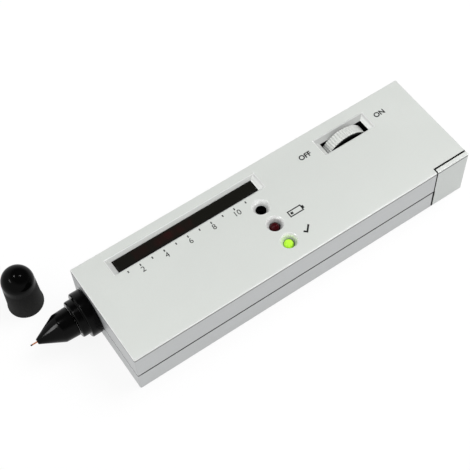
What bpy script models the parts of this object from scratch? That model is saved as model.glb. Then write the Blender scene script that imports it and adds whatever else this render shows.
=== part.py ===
# A pocket diamond tester: a flat two-part case with a sprung copper probe at one end,
# a battery cover that slides off the other end, a lit bar display under a smoked window,
# a thumbwheel switch, and a loose probe cap that stands beside the case.
#
# Frame: origin at the centre of the case's underside, +X from the probe to the battery end,
# +Y towards the side with the probe, the display and the thumbwheel, +Z up. Metres.

import math

import bmesh
import bpy
from mathutils import Vector

# Case shells; the case's own length, width and height follow from what it holds
WALL = 0.0016
FLOOR = 0.0016
TOP_PLATE = 0.0016
EDGE_ROUND = 0.00045
SEAM_HEIGHT = 0.0096
SEAM_GAP = 0.0004
LIP = 0.0006
LIP_REACH = 0.0012

# Gaps and cutter overruns
FIT_GAP = 0.0003
OVERRUN = 0.001
MERGE = 0.00001

# Battery cover
COVER_LENGTH = 0.0138
COVER_GAP = 0.0005
COVER_SIDE = 0.00215
COVER_LIP_REACH = 0.0030
GRIP_WIDTH = 0.0140
GRIP_PITCH = 0.0016
GRIP_DEPTH = 0.0004
GRIP_COUNT = 4

# Display window and its sloping pocket, measured from the probe end and the far side
WINDOW_START = 0.0132
WINDOW_LENGTH = 0.0567
WINDOW_FAR = 0.00475
WINDOW_WIDTH = 0.00495
POCKET_END_SLOPE = 0.0022
POCKET_SIDE_SLOPE = 0.0011
WINDOW_DEPTH = 0.0014
WINDOW_FLANGE = 0.0018
WINDOW_FLANGE_THICK = 0.0012

# Three dished openings in a row: ready lamp, low battery lamp, sound hole. The row stands
# back from the window's end and runs from near the near side to near the window.
DISH_INSET = 0.0038
DISH_NEAR = 0.0079
DISH_WINDOW_GAP = 0.0070
DISH_RIM_RADIUS = 0.00305
DISH_HOLE_RADIUS = 0.00195
DISH_DEPTH = 0.0023
DISH_BEND_RADIUS = 0.00275
DISH_BEND_DEPTH = 0.0017
DISH_ROUND = 0.0022
DISH_RING_RADIUS = 0.0036
DISH_RING_DEPTH = 0.0029

# Thumbwheel, its slot and its sloping trough. The wheel fills the height between its gap
# over the floor and what stands proud of the top face.
WHEEL_FROM_END = 0.0302
WHEEL_SIDE_GAP = 0.0004
WHEEL_FLOOR_GAP = 0.0017
WHEEL_PROUD = 0.0010
WHEEL_THICK = 0.0040
WHEEL_CHAMFER = 0.0004
WHEEL_RIM = 0.0009
WHEEL_WEB_DEPTH = 0.0012
WHEEL_HUB_RADIUS = 0.0032
RIDGE_DEPTH = 0.00025
RIDGE_COUNT = 56
SMOOTH_RIDGES = 12
SMOOTH_START_DEGREES = 18.5
RIDGE_CREST_SHARE = 0.6
RIDGE_ROOT_SHARE = 0.8
SLOT_LENGTH = 0.0179
SLOT_WIDTH = 0.0048
TROUGH_END_SLOPE = 0.0021
TROUGH_NEAR_SLOPE = 0.0010
TROUGH_FAR_SLOPE = 0.0019

# Potentiometer with switch behind the thumbwheel
POT_RADIUS = 0.0047
POT_THICK = 0.0042
POT_BACK_GAP = 0.0008
POT_SHAFT_RADIUS = 0.0015
POT_SHAFT_INSET = 0.0030
POT_LUG = 0.0012
POT_LUG_THICK = 0.0005
POT_LUG_LENGTH = 0.0020
POT_LUG_PITCH = 0.0025

# Probe, turned about an axis along X; lengths run forwards from the case end
PROBE_FAR = 0.0114
DISC_RADIUS = 0.0083
DISC_FRONT = 0.0043
STEP_RADIUS = 0.00676
STEP_FRONT = 0.0070
STEP_ROUND = 0.0005
GROOVE_RADIUS = 0.0060
FLANGE_RADIUS = 0.0070
FLANGE_THICK = 0.0020
REAR_TUBE_RADIUS = 0.0050
REAR_TUBE_LENGTH = 0.0056
SPIGOT_RADIUS = 0.0040
SPIGOT_REACH = 0.0007
REAR_BORE_RADIUS = 0.0032
NECK_RADIUS = 0.00542
NECK_FRONT_RADIUS = 0.0052
NECK_FRONT = 0.0125
NECK_ROUND = 0.0016
NOSE_TIP_RADIUS = 0.00095
NOSE_TIP_ROUND = 0.0002
NOSE_LENGTH = 0.0209
PLUNGER_RADIUS = 0.0018
PLUNGER_LENGTH = 0.0040
PLUNGER_FRONT = 0.0157
PLUNGER_REAR_WALL = 0.0009
PIN_RADIUS = 0.00032
PIN_LENGTH = 0.0105
PIN_FRONT = 0.0234
PLUG_FRONT = 0.0033
PLUG_FLANGE_THICK = 0.0020
SPRING_WIRE_RADIUS = 0.00020
SPRING_RADIUS = 0.0014
SPRING_TURNS = 7

# Loose probe cap, standing on its open end
CAP_X = -0.0846
CAP_Y = 0.0308
CAP_HEIGHT = 0.0203
CAP_LIP_RADIUS = 0.00644
CAP_LIP_HEIGHT = 0.0009
CAP_BASE_RADIUS = 0.0062
CAP_SHOULDER_RADIUS = 0.0058
CAP_SHOULDER_HEIGHT = 0.0146
CAP_WALL = 0.00068
CAP_TOP_WALL = 0.0012
CAP_BORE_CLEARANCE = 0.00015

# Nine volt battery and its snap connector
BATTERY_LENGTH = 0.0460
BATTERY_WIDTH = 0.0265
BATTERY_THICK = 0.0175
BATTERY_ROUND = 0.0019
BATTERY_END_PLAY = 0.0005
BATTERY_SIDE_PLAY = 0.0004
BATTERY_TOP_PLAY = 0.0003
WIRING_GAP = 0.0118
STUD_INSET = 0.0069
STUD_LENGTH = 0.0021
POSITIVE_STUD_RADIUS = 0.0028
NEGATIVE_STUD_RADIUS = 0.0038
SNAP_THICK = 0.0030
SNAP_INSET = 0.00125
SNAP_HEIGHT = 0.0125
SNAP_ROUND = 0.0008
PARTITION = 0.0009
PARTITION_TOP_GAP = 0.0037
PARTITION_LENGTH = 0.0270
STOP_RIB_HEIGHT = 0.0040

# Circuit board and what stands on it, measured from the probe end. It hangs at a fixed
# depth under the top plate and ends a margin past the window.
BOARD_START = 0.0120
BOARD_END_MARGIN = 0.0046
BOARD_SIDE_PLAY = 0.0013
BOARD_DEPTH = 0.0079
BOARD_THICK = 0.0016
BOARD_POST_RADIUS = 0.0016
BOARD_POST_INSET = 0.0030
HOLD_DOWN_RADIUS = 0.0012
BAR_LED_COUNT = 12
BAR_LED_THICK = 0.0020
BAR_LED_WIDTH = 0.0044
LAMP_RADIUS = 0.0018
LAMP_DOME_SHARE = 0.98
LAMP_TOP_DEPTH = 0.0009
LAMP_LENGTH = 0.0050
LAMP_FLANGE_RADIUS = 0.0021
LAMP_FLANGE_THICK = 0.0010
LAMP_LEG = 0.0005
LAMP_LEG_SPACING = 0.0018
BUZZER_RADIUS = 0.0040
BUZZER_HEIGHT = 0.0052
BUZZER_HOLE_RADIUS = 0.0010
BUZZER_HOLE_DEPTH = 0.0015
BUZZER_ROUND = 0.0004
CHIP_WIDTH = 0.0064
CHIP_HEIGHT = 0.0033
CHIP_LIFT = 0.0008
CHIP_LEG = 0.0006
CHIP_LEG_PITCH = 0.00254
DRIVER_CHIP_LEGS = 9
DRIVER_CHIP_X = 0.0370
DRIVER_CHIP_NEAR = 0.0215
AMPLIFIER_CHIP_LEGS = 4
AMPLIFIER_CHIP_X = 0.0360
AMPLIFIER_CHIP_NEAR = 0.0110
CAPACITOR_RADIUS = 0.0025
CAPACITOR_HEIGHT = 0.0066
CAPACITOR_ROUND = 0.0004
CAPACITOR_X = 0.0190
CAPACITOR_NEAR = 0.0095
CAPACITOR_PITCH = 0.0068
TRIMMER_SIZE = 0.0066
TRIMMER_HEIGHT = 0.0034
TRIMMER_DIAL_RADIUS = 0.0022
TRIMMER_DIAL_DEPTH = 0.0006
TRIMMER_INSET = 0.0101
TRIMMER_NEAR = 0.0085

# Case screws and the posts that they join
SCREW_END_INSET = 0.0055
SCREW_SIDE_INSET = 0.0062
SCREW_CORNER_INSET = 0.0043
SCREW_HEAD_RADIUS = 0.0022
SCREW_HEAD_HEIGHT = 0.0014
SCREW_SHANK_RADIUS = 0.0010
SCREW_TIP_GAP = 0.0059
SCREW_RECESS_DEPTH = 0.0021
SCREW_CROSS = 0.0026
SCREW_CROSS_THICK = 0.0006
SCREW_CROSS_DEPTH = 0.0007
POST_RADIUS = 0.0031
POST_TOP = 0.0062
BOSS_RADIUS = 0.0022
BOSS_ROOF = 0.0035

# Leads
THIN_LEAD_RADIUS = 0.0004
LEAD_RADIUS = 0.0006
LEAD_SPLAY = 0.0010

# Fineness of round shapes
ROUND_STEPS = 28
DISH_STEPS = 24
SMALL_STEPS = 12
FILLET_STEPS = 2
CAP_DOME_STEPS = 6
CAP_BORE_STEPS = 3
SPRING_POINTS_PER_TURN = 8

# Sizes of the case and the wheel that follow from the sizes above
CASE_LENGTH = (WINDOW_START + WINDOW_LENGTH + BOARD_END_MARGIN + WIRING_GAP + SNAP_THICK
               + 2 * FIT_GAP + BATTERY_LENGTH + BATTERY_END_PLAY + WALL)
CASE_WIDTH = (WALL + BATTERY_SIDE_PLAY + BATTERY_WIDTH + FIT_GAP + PARTITION + WHEEL_SIDE_GAP
              + WHEEL_THICK + FIT_GAP + POT_THICK + POT_BACK_GAP + WALL)
CASE_HEIGHT = FLOOR + BATTERY_THICK + 2 * BATTERY_TOP_PLAY + TOP_PLATE
WHEEL_RADIUS = (CASE_HEIGHT + WHEEL_PROUD - FLOOR - WHEEL_FLOOR_GAP) / 2
WHEEL_WEB_RADIUS = WHEEL_RADIUS - WHEEL_RIM
WHEEL_AXIS_HEIGHT = FLOOR + WHEEL_FLOOR_GAP + WHEEL_RADIUS
SNAP_WIDTH = BATTERY_WIDTH - 2 * SNAP_INSET
STUD_SPACING = BATTERY_WIDTH - 2 * STUD_INSET

# Places that follow from the sizes above
PROBE_END_X = -CASE_LENGTH / 2
BATTERY_END_X = CASE_LENGTH / 2
NEAR_Y = -CASE_WIDTH / 2
FAR_Y = CASE_WIDTH / 2
INNER_NEAR_Y = NEAR_Y + WALL
INNER_FAR_Y = FAR_Y - WALL
CEILING_Z = CASE_HEIGHT - TOP_PLATE
COVER_X = BATTERY_END_X - COVER_LENGTH
SHELL_END_X = COVER_X - COVER_GAP

WHEEL_X = BATTERY_END_X - WHEEL_FROM_END
WHEEL_Y = INNER_FAR_Y - POT_BACK_GAP - POT_THICK - FIT_GAP - WHEEL_THICK / 2
WINDOW_X = PROBE_END_X + WINDOW_START
WINDOW_END_X = WINDOW_X + WINDOW_LENGTH
WINDOW_FAR_Y = FAR_Y - WINDOW_FAR
WINDOW_NEAR_Y = WINDOW_FAR_Y - WINDOW_WIDTH
DISH_X = WINDOW_END_X - DISH_INSET
FIRST_DISH_Y = NEAR_Y + DISH_NEAR
LAST_DISH_Y = WINDOW_NEAR_Y - DISH_WINDOW_GAP
DISH_YS = [FIRST_DISH_Y, (FIRST_DISH_Y + LAST_DISH_Y) / 2, LAST_DISH_Y]
PROBE_Y = FAR_Y - PROBE_FAR
PROBE_HEIGHT = (FLOOR + CEILING_Z) / 2
BOARD_X = PROBE_END_X + BOARD_START
BOARD_END_X = WINDOW_END_X + BOARD_END_MARGIN
BOARD_TOP_Z = CEILING_Z - BOARD_DEPTH
BOARD_HEIGHT = BOARD_TOP_Z - BOARD_THICK
PART_FOOT_Z = BOARD_TOP_Z + FIT_GAP

BATTERY_X_END = BATTERY_END_X - WALL - BATTERY_END_PLAY
BATTERY_X = BATTERY_X_END - BATTERY_LENGTH
BATTERY_Y = INNER_NEAR_Y + BATTERY_SIDE_PLAY + BATTERY_WIDTH / 2
BATTERY_Z = (FLOOR + CEILING_Z) / 2
SNAP_X = BATTERY_X - 2 * FIT_GAP - SNAP_THICK
SCREW_TIP_Z = CEILING_Z - SCREW_TIP_GAP

SCREW_PLACES = [
    (PROBE_END_X + SCREW_END_INSET, NEAR_Y + SCREW_SIDE_INSET),
    ((BOARD_END_X + SNAP_X) / 2, NEAR_Y + SCREW_SIDE_INSET),
    ((BOARD_END_X + SNAP_X) / 2, FAR_Y - SCREW_SIDE_INSET),
    (SHELL_END_X - COVER_LIP_REACH - POST_RADIUS - FIT_GAP, FAR_Y - SCREW_CORNER_INSET),
]


def clear_scene():
    for leftover in list(bpy.data.objects):
        bpy.data.objects.remove(leftover, do_unlink=True)


def new_collection(name):
    collection = bpy.data.collections.new(name)
    bpy.context.scene.collection.children.link(collection)
    return collection


def make_material(name, colour, roughness, metallic=0.0):
    material = bpy.data.materials.new(name)
    material.use_nodes = True
    shader = material.node_tree.nodes["Principled BSDF"]
    shader.inputs["Base Color"].default_value = (*colour, 1.0)
    shader.inputs["Roughness"].default_value = roughness
    shader.inputs["Metallic"].default_value = metallic
    return material


clear_scene()
PARTS = new_collection("diamond_tester")
CUTTERS = new_collection("diamond_tester_cutters")

SILVER_PAINT = make_material("silver_paint", (0.72, 0.74, 0.72), 0.38, 0.25)
BLACK_PLASTIC = make_material("black_plastic", (0.012, 0.012, 0.012), 0.25)
CAP_VINYL = make_material("cap_vinyl", (0.02, 0.02, 0.02), 0.45)
SMOKED_WINDOW = make_material("smoked_window", (0.02, 0.008, 0.008), 0.12)
RED_LENS = make_material("red_lens", (0.18, 0.004, 0.006), 0.15)
GREEN_LENS = make_material("green_lens", (0.35, 0.80, 0.05), 0.20)
COPPER = make_material("copper", (0.80, 0.36, 0.18), 0.30, 1.0)
BRASS = make_material("brass", (0.78, 0.60, 0.28), 0.30, 1.0)
STEEL = make_material("steel", (0.62, 0.62, 0.62), 0.30, 1.0)
BOARD_GREEN = make_material("board_green", (0.03, 0.16, 0.06), 0.45)
BATTERY_JACKET = make_material("battery_jacket", (0.10, 0.11, 0.13), 0.30, 0.4)
RED_LEAD = make_material("red_lead", (0.55, 0.02, 0.02), 0.45)
BLACK_LEAD = make_material("black_lead", (0.02, 0.02, 0.02), 0.45)


def add_part(name, data, material=None):
    """A piece of the tester, or a cutter where it has no material."""
    piece = bpy.data.objects.new(name, data)
    if material is None:
        CUTTERS.objects.link(piece)
        piece.hide_render = True
        piece.display_type = "WIRE"
    else:
        PARTS.objects.link(piece)
        data.materials.append(material)
    return piece


def add_axis(name, location, rotation=(0.0, 0.0, 0.0)):
    """An empty on a joint's axis, which carries the pieces that move on it."""
    axis = bpy.data.objects.new(name, None)
    axis.location = location
    axis.rotation_euler = rotation
    PARTS.objects.link(axis)
    return axis


def round_edges(piece, width, segments=2):
    bevel = piece.modifiers.new("Rounded edges", "BEVEL")
    bevel.width = width
    bevel.segments = segments
    bevel.limit_method = "ANGLE"
    bevel.use_clamp_overlap = True


def even_shading(piece):
    piece.modifiers.new("Even shading", "WEIGHTED_NORMAL")


def combine(piece, tool, operation):
    boolean = piece.modifiers.new(operation.capitalize() + " " + tool.name, "BOOLEAN")
    boolean.operation = operation
    boolean.object = tool
    boolean.solver = "EXACT"


def cut(piece, *tools):
    for tool in tools:
        combine(piece, tool, "DIFFERENCE")


def join(piece, *tools):
    for tool in tools:
        combine(piece, tool, "UNION")


def add_block(name, low, high, material=None):
    """A box between two corners, with its origin at its centre."""
    low = Vector(low)
    high = Vector(high)
    form = bmesh.new()
    bmesh.ops.create_cube(form, size=1.0)
    bmesh.ops.scale(form, vec=high - low, verts=form.verts)
    mesh = bpy.data.meshes.new(name)
    form.to_mesh(mesh)
    form.free()
    piece = add_part(name, mesh, material)
    piece.location = (low + high) / 2
    return piece


def add_pocket(name, lower, upper, lower_z, upper_z):
    """A tapered cutter between two rectangles (x low, x high, y low, y high).

    It runs on past the upper one along the same slopes."""
    run_on = OVERRUN / (upper_z - lower_z)
    beyond = [high + (high - low) * run_on for low, high in zip(lower, upper)]
    form = bmesh.new()
    bmesh.ops.create_cube(form, size=1.0)
    for corner in form.verts:
        outline = beyond if corner.co.z > 0 else lower
        corner.co.x = outline[1] if corner.co.x > 0 else outline[0]
        corner.co.y = outline[3] if corner.co.y > 0 else outline[2]
        corner.co.z = upper_z + OVERRUN if corner.co.z > 0 else lower_z
    mesh = bpy.data.meshes.new(name)
    form.to_mesh(mesh)
    form.free()
    return add_part(name, mesh)


def add_rod(name, radius, low_z, high_z, steps, material=None):
    """A cylinder along Z that starts at low_z and ends at high_z above its origin."""
    form = bmesh.new()
    bmesh.ops.create_cone(
        form, cap_ends=True, segments=steps,
        radius1=radius, radius2=radius, depth=high_z - low_z,
    )
    bmesh.ops.translate(form, vec=(0, 0, (low_z + high_z) / 2), verts=form.verts)
    mesh = bpy.data.meshes.new(name)
    form.to_mesh(mesh)
    form.free()
    mesh.shade_smooth()
    mesh.set_sharp_from_angle(angle=math.radians(40))
    return add_part(name, mesh, material)


def rounded_path(corners, steps=FILLET_STEPS):
    """Points of a path through corners (radius, height, fillet), with arcs for the fillets."""
    points = []
    for index, (radius, height, fillet) in enumerate(corners):
        here = Vector((radius, height))
        if not fillet:
            points.append(here)
            continue
        back = Vector(corners[index - 1][:2]) - here
        ahead = Vector(corners[index + 1][:2]) - here
        half_angle = back.angle(ahead) / 2
        back.normalize()
        ahead.normalize()
        centre = here + (back + ahead).normalized() * (fillet / math.sin(half_angle))
        first = (here + back * (fillet / math.tan(half_angle)) - centre).normalized()
        last = (here + ahead * (fillet / math.tan(half_angle)) - centre).normalized()
        for step in range(steps + 1):
            points.append(centre + first.slerp(last, step / steps) * fillet)
    return points


def add_turned(name, points, steps, material=None, bored=False):
    """A turned solid about Z. The points run down its outer side, and up its bore if bored."""
    mesh = bpy.data.meshes.new(name)
    edges = [(index, index + 1) for index in range(len(points) - 1)]
    if bored:
        edges.append((len(points) - 1, 0))
    mesh.from_pydata([(radius, 0, height) for radius, height in points], edges, [])
    piece = add_part(name, mesh, material)
    screw = piece.modifiers.new("Turned", "SCREW")
    screw.axis = "Z"
    screw.angle = math.tau
    screw.steps = steps
    screw.render_steps = steps
    screw.use_merge_vertices = True
    screw.merge_threshold = MERGE
    screw.use_smooth_shade = True
    even_shading(piece)
    return piece


def add_wire(name, points, radius, material, fineness=2):
    """A lead or coil: a tube of filled ends along a list of points."""
    curve = bpy.data.curves.new(name, "CURVE")
    curve.dimensions = "3D"
    curve.bevel_depth = radius
    curve.bevel_resolution = fineness
    curve.use_fill_caps = True
    spline = curve.splines.new("POLY")
    spline.points.add(len(points) - 1)
    for point, place in zip(spline.points, points):
        point.co = (*place, 1.0)
    return add_part(name, curve, material)


def smooth_route(places, steps=3):
    """Points on a smooth curve through the given places."""
    places = [Vector(place) for place in places]
    ends = [places[0] * 2 - places[1], *places, places[-1] * 2 - places[-2]]
    points = [places[0]]
    for before, start, end, after in zip(ends, ends[1:], ends[2:], ends[3:]):
        for step in range(1, steps + 1):
            t = step / steps
            bend = 2 * before - 5 * start + 4 * end - after
            twist = 3 * start - before - 3 * end + after
            points.append(start + ((end - before) * t + bend * t * t + twist * t ** 3) / 2)
    return points


# Case


def case_block(name):
    """The whole case as one rounded block, from which each shell and the cover is cut."""
    block = add_block(name, (PROBE_END_X, NEAR_Y, 0), (BATTERY_END_X, FAR_Y, CASE_HEIGHT),
                      SILVER_PAINT)
    round_edges(block, EDGE_ROUND)
    return block


def wide_block(name, low_x, high_x, low_z, high_z):
    """A cutter that takes the whole width of the case."""
    return add_block(name, (low_x, NEAR_Y - OVERRUN, low_z), (high_x, FAR_Y + OVERRUN, high_z))


def cavity(name, grow, low_x, high_x, low_z, high_z):
    """A cutter as wide as the room inside the walls, or wider by grow on each side."""
    return add_block(name, (low_x, INNER_NEAR_Y - grow, low_z), (high_x, INNER_FAR_Y + grow, high_z))


def cut_probe_hole(shell):
    """The round hole in the end wall, and the saddle that carries the collar's rear tube."""
    hole = add_rod(shell.name + "_probe_hole", GROOVE_RADIUS + FIT_GAP,
                   -WALL - OVERRUN, OVERRUN, ROUND_STEPS)
    bore = add_rod(shell.name + "_saddle_bore", REAR_TUBE_RADIUS + FIT_GAP,
                   -WALL - FLANGE_THICK - REAR_TUBE_LENGTH, -WALL - FLANGE_THICK, ROUND_STEPS)
    for tool in (hole, bore):
        tool.location = (PROBE_END_X, PROBE_Y, PROBE_HEIGHT)
        tool.rotation_euler = (0, -math.pi / 2, 0)
        cut(shell, tool)


def saddle_rib(shell, low_z, high_z):
    """A rib across the probe's axis, from the floor or the ceiling to the seam."""
    rear_x = PROBE_END_X + WALL + FLANGE_THICK + 4 * FIT_GAP
    return add_block(shell.name + "_saddle", (rear_x, PROBE_Y - FLANGE_RADIUS, low_z),
                     (rear_x + WALL, PROBE_Y + FLANGE_RADIUS, high_z))


def make_top_shell():
    shell = case_block("top_shell")
    seam_z = SEAM_HEIGHT + SEAM_GAP / 2
    cut(shell, wide_block("top_below_seam", PROBE_END_X - OVERRUN, BATTERY_END_X + OVERRUN,
                          -OVERRUN, seam_z))
    cut(shell, cavity("top_cavity", 0, PROBE_END_X + WALL, BATTERY_END_X + OVERRUN,
                      -OVERRUN, CEILING_Z))
    cut(shell, cavity("top_lip_groove", LIP + FIT_GAP,
                      PROBE_END_X + WALL - LIP - FIT_GAP, SHELL_END_X + OVERRUN,
                      -OVERRUN, SEAM_HEIGHT + LIP_REACH + FIT_GAP))
    cut(shell, cavity("top_cover_socket", LIP + FIT_GAP,
                      SHELL_END_X - COVER_LIP_REACH, BATTERY_END_X + OVERRUN,
                      -OVERRUN, CEILING_Z - FIT_GAP / 2))
    # The cover takes both walls at this end, and a strip of the top face on the near side
    cut(shell, add_block("top_cover_notch_near",
                         (SHELL_END_X, NEAR_Y - OVERRUN, -OVERRUN),
                         (BATTERY_END_X + OVERRUN, NEAR_Y + COVER_SIDE, CASE_HEIGHT + OVERRUN)))
    cut(shell, add_block("top_cover_notch_far",
                         (SHELL_END_X, FAR_Y - COVER_SIDE, -OVERRUN),
                         (BATTERY_END_X + OVERRUN, FAR_Y + OVERRUN, CEILING_Z)))
    # What hangs from the ceiling: screw bosses, rings under the dishes, board hold-downs
    root_z = CASE_HEIGHT - TOP_PLATE / 2
    for number, (x, y) in enumerate(SCREW_PLACES, 1):
        boss = add_rod(f"top_boss_{number}", BOSS_RADIUS, POST_TOP + FIT_GAP, root_z, SMALL_STEPS)
        boss.location = (x, y, 0)
        join(shell, boss)
    for number, y in enumerate(DISH_YS, 1):
        ring = add_rod(f"dish_ring_{number}", DISH_RING_RADIUS, -DISH_RING_DEPTH,
                       -TOP_PLATE / 2, DISH_STEPS)
        ring.location = (DISH_X, y, CASE_HEIGHT)
        join(shell, ring)
    for number, x in enumerate((BOARD_X, BOARD_END_X - 2 * BOARD_POST_INSET), 1):
        pin = add_rod(f"hold_down_{number}", HOLD_DOWN_RADIUS, PART_FOOT_Z, root_z, SMALL_STEPS)
        pin.location = (x + BOARD_POST_INSET, INNER_NEAR_Y + BOARD_POST_INSET, 0)
        join(shell, pin)
    join(shell, saddle_rib(shell, seam_z, root_z))
    cut_probe_hole(shell)
    # Openings from the top: window pocket, thumbwheel trough, dishes, and the screw holes
    cut(shell, window_pocket(), wheel_trough())
    for number, y in enumerate(DISH_YS, 1):
        cut(shell, dish_cutter(f"dish_{number}", y))
    for number, (x, y) in enumerate(SCREW_PLACES, 1):
        hole = add_rod(f"boss_hole_{number}", SCREW_SHANK_RADIUS + FIT_GAP, POST_TOP - OVERRUN,
                       CEILING_Z - BOSS_ROOF, SMALL_STEPS)
        hole.location = (x, y, 0)
        cut(shell, hole)
    return shell


def window_pocket():
    lower = (WINDOW_X, WINDOW_END_X, WINDOW_NEAR_Y, WINDOW_FAR_Y)
    slopes = (-POCKET_END_SLOPE, POCKET_END_SLOPE, -POCKET_SIDE_SLOPE, POCKET_SIDE_SLOPE)
    through = OVERRUN / TOP_PLATE
    upper = [edge + slope for edge, slope in zip(lower, slopes)]
    beneath = [edge - slope * through for edge, slope in zip(lower, slopes)]
    return add_pocket("window_pocket", beneath, upper, CEILING_Z - OVERRUN, CASE_HEIGHT)


def wheel_trough():
    """The slot that the wheel stands in, flared to a wider rim at the top face."""
    lower = (WHEEL_X - SLOT_LENGTH / 2, WHEEL_X + SLOT_LENGTH / 2,
             WHEEL_Y - SLOT_WIDTH / 2, WHEEL_Y + SLOT_WIDTH / 2)
    slopes = (-TROUGH_END_SLOPE, TROUGH_END_SLOPE, -TROUGH_NEAR_SLOPE, TROUGH_FAR_SLOPE)
    through = OVERRUN / TOP_PLATE
    upper = [edge + slope for edge, slope in zip(lower, slopes)]
    beneath = [edge - slope * through for edge, slope in zip(lower, slopes)]
    return add_pocket("wheel_trough", beneath, upper, CEILING_Z - OVERRUN, CASE_HEIGHT)


def dish_cutter(name, y):
    """A bowl that is steep at its rim and flatter round the hole in its floor."""
    flare = (DISH_RIM_RADIUS - DISH_BEND_RADIUS) / DISH_BEND_DEPTH
    profile = rounded_path([
        (0, OVERRUN, 0),
        (DISH_RIM_RADIUS + flare * OVERRUN, OVERRUN, 0),
        (DISH_BEND_RADIUS, -DISH_BEND_DEPTH, DISH_ROUND),
        (DISH_HOLE_RADIUS, -DISH_DEPTH, 0),
        (DISH_HOLE_RADIUS, -DISH_RING_DEPTH - OVERRUN, 0),
        (0, -DISH_RING_DEPTH - OVERRUN, 0),
    ], 2 * FILLET_STEPS)
    dish = add_turned(name, profile, DISH_STEPS)
    dish.location = (DISH_X, y, CASE_HEIGHT)
    return dish


def make_bottom_shell():
    shell = case_block("bottom_shell")
    seam_z = SEAM_HEIGHT - SEAM_GAP / 2
    cut(shell, wide_block("bottom_above_lip", PROBE_END_X - OVERRUN, BATTERY_END_X + OVERRUN,
                          SEAM_HEIGHT + LIP_REACH, CASE_HEIGHT + OVERRUN))
    rebate = wide_block("bottom_lip_rebate", PROBE_END_X - OVERRUN, BATTERY_END_X + 2 * OVERRUN,
                        seam_z, CASE_HEIGHT)
    cut(rebate, cavity("bottom_lip_core", LIP, PROBE_END_X + WALL - LIP,
                       BATTERY_END_X + OVERRUN, seam_z - OVERRUN, CASE_HEIGHT + OVERRUN))
    cut(shell, rebate)
    cut(shell, cavity("bottom_cavity", 0, PROBE_END_X + WALL, BATTERY_END_X + OVERRUN,
                      FLOOR, CASE_HEIGHT))
    cut(shell, wide_block("bottom_cover_end", SHELL_END_X, BATTERY_END_X + OVERRUN,
                          -OVERRUN, CASE_HEIGHT))
    cut(shell, cavity("bottom_cover_socket", LIP + FIT_GAP, SHELL_END_X - COVER_LIP_REACH,
                      BATTERY_END_X, FLOOR - LIP - FIT_GAP, CASE_HEIGHT))
    # What stands on the floor: screw posts, board posts, battery ribs, cradle and saddle
    root_z = FLOOR / 2
    for number, (x, y) in enumerate(SCREW_PLACES, 1):
        post = add_rod(f"screw_post_{number}", POST_RADIUS, root_z, POST_TOP, SMALL_STEPS)
        post.location = (x, y, 0)
        join(shell, post)
    for number, x in enumerate((BOARD_X + 2 * BOARD_POST_INSET, BOARD_END_X - BOARD_POST_INSET), 1):
        for side, y in ((1, INNER_NEAR_Y + BOARD_POST_INSET), (2, INNER_FAR_Y - BOARD_POST_INSET)):
            post = add_rod(f"board_post_{number}_{side}", BOARD_POST_RADIUS, root_z,
                           BOARD_HEIGHT - FIT_GAP, SMALL_STEPS)
            post.location = (x, y, 0)
            join(shell, post)
    partition_y = BATTERY_Y + BATTERY_WIDTH / 2 + FIT_GAP
    partition_end = SHELL_END_X - COVER_LIP_REACH - FIT_GAP
    partition = add_block("battery_partition",
                          (partition_end - PARTITION_LENGTH, partition_y, root_z),
                          (partition_end, partition_y + PARTITION,
                           CEILING_Z - PARTITION_TOP_GAP))
    stop_x = SNAP_X - FIT_GAP
    stop = add_block("battery_stop", (stop_x - PARTITION, BATTERY_Y - BATTERY_WIDTH / 4, root_z),
                     (stop_x, BATTERY_Y + BATTERY_WIDTH / 4, STOP_RIB_HEIGHT))
    pot_y = WHEEL_Y + WHEEL_THICK / 2 + FIT_GAP
    cradle = add_block("pot_cradle", (WHEEL_X - POT_RADIUS, pot_y + POT_THICK / 4, root_z),
                       (WHEEL_X + POT_RADIUS, pot_y + POT_THICK / 2,
                        WHEEL_AXIS_HEIGHT - POT_LUG_PITCH - POT_LUG))
    join(shell, partition, stop, cradle, saddle_rib(shell, root_z, seam_z))
    cradle_bore = add_rod("pot_cradle_bore", POT_RADIUS + FIT_GAP, -WHEEL_THICK, WHEEL_THICK,
                          ROUND_STEPS)
    cradle_bore.location = (WHEEL_X, pot_y + POT_THICK / 2, WHEEL_AXIS_HEIGHT)
    cradle_bore.rotation_euler = (math.pi / 2, 0, 0)
    cut(shell, cradle_bore)
    cut_probe_hole(shell)
    for number, (x, y) in enumerate(SCREW_PLACES, 1):
        hole = add_turned(f"post_hole_{number}", [
            (0, POST_TOP + OVERRUN),
            (SCREW_SHANK_RADIUS + FIT_GAP, POST_TOP + OVERRUN),
            (SCREW_SHANK_RADIUS + FIT_GAP, SCREW_RECESS_DEPTH),
            (SCREW_HEAD_RADIUS + FIT_GAP, SCREW_RECESS_DEPTH),
            (SCREW_HEAD_RADIUS + FIT_GAP, -OVERRUN),
            (0, -OVERRUN),
        ], SMALL_STEPS)
        hole.location = (x, y, 0)
        cut(shell, hole)
    return shell


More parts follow.
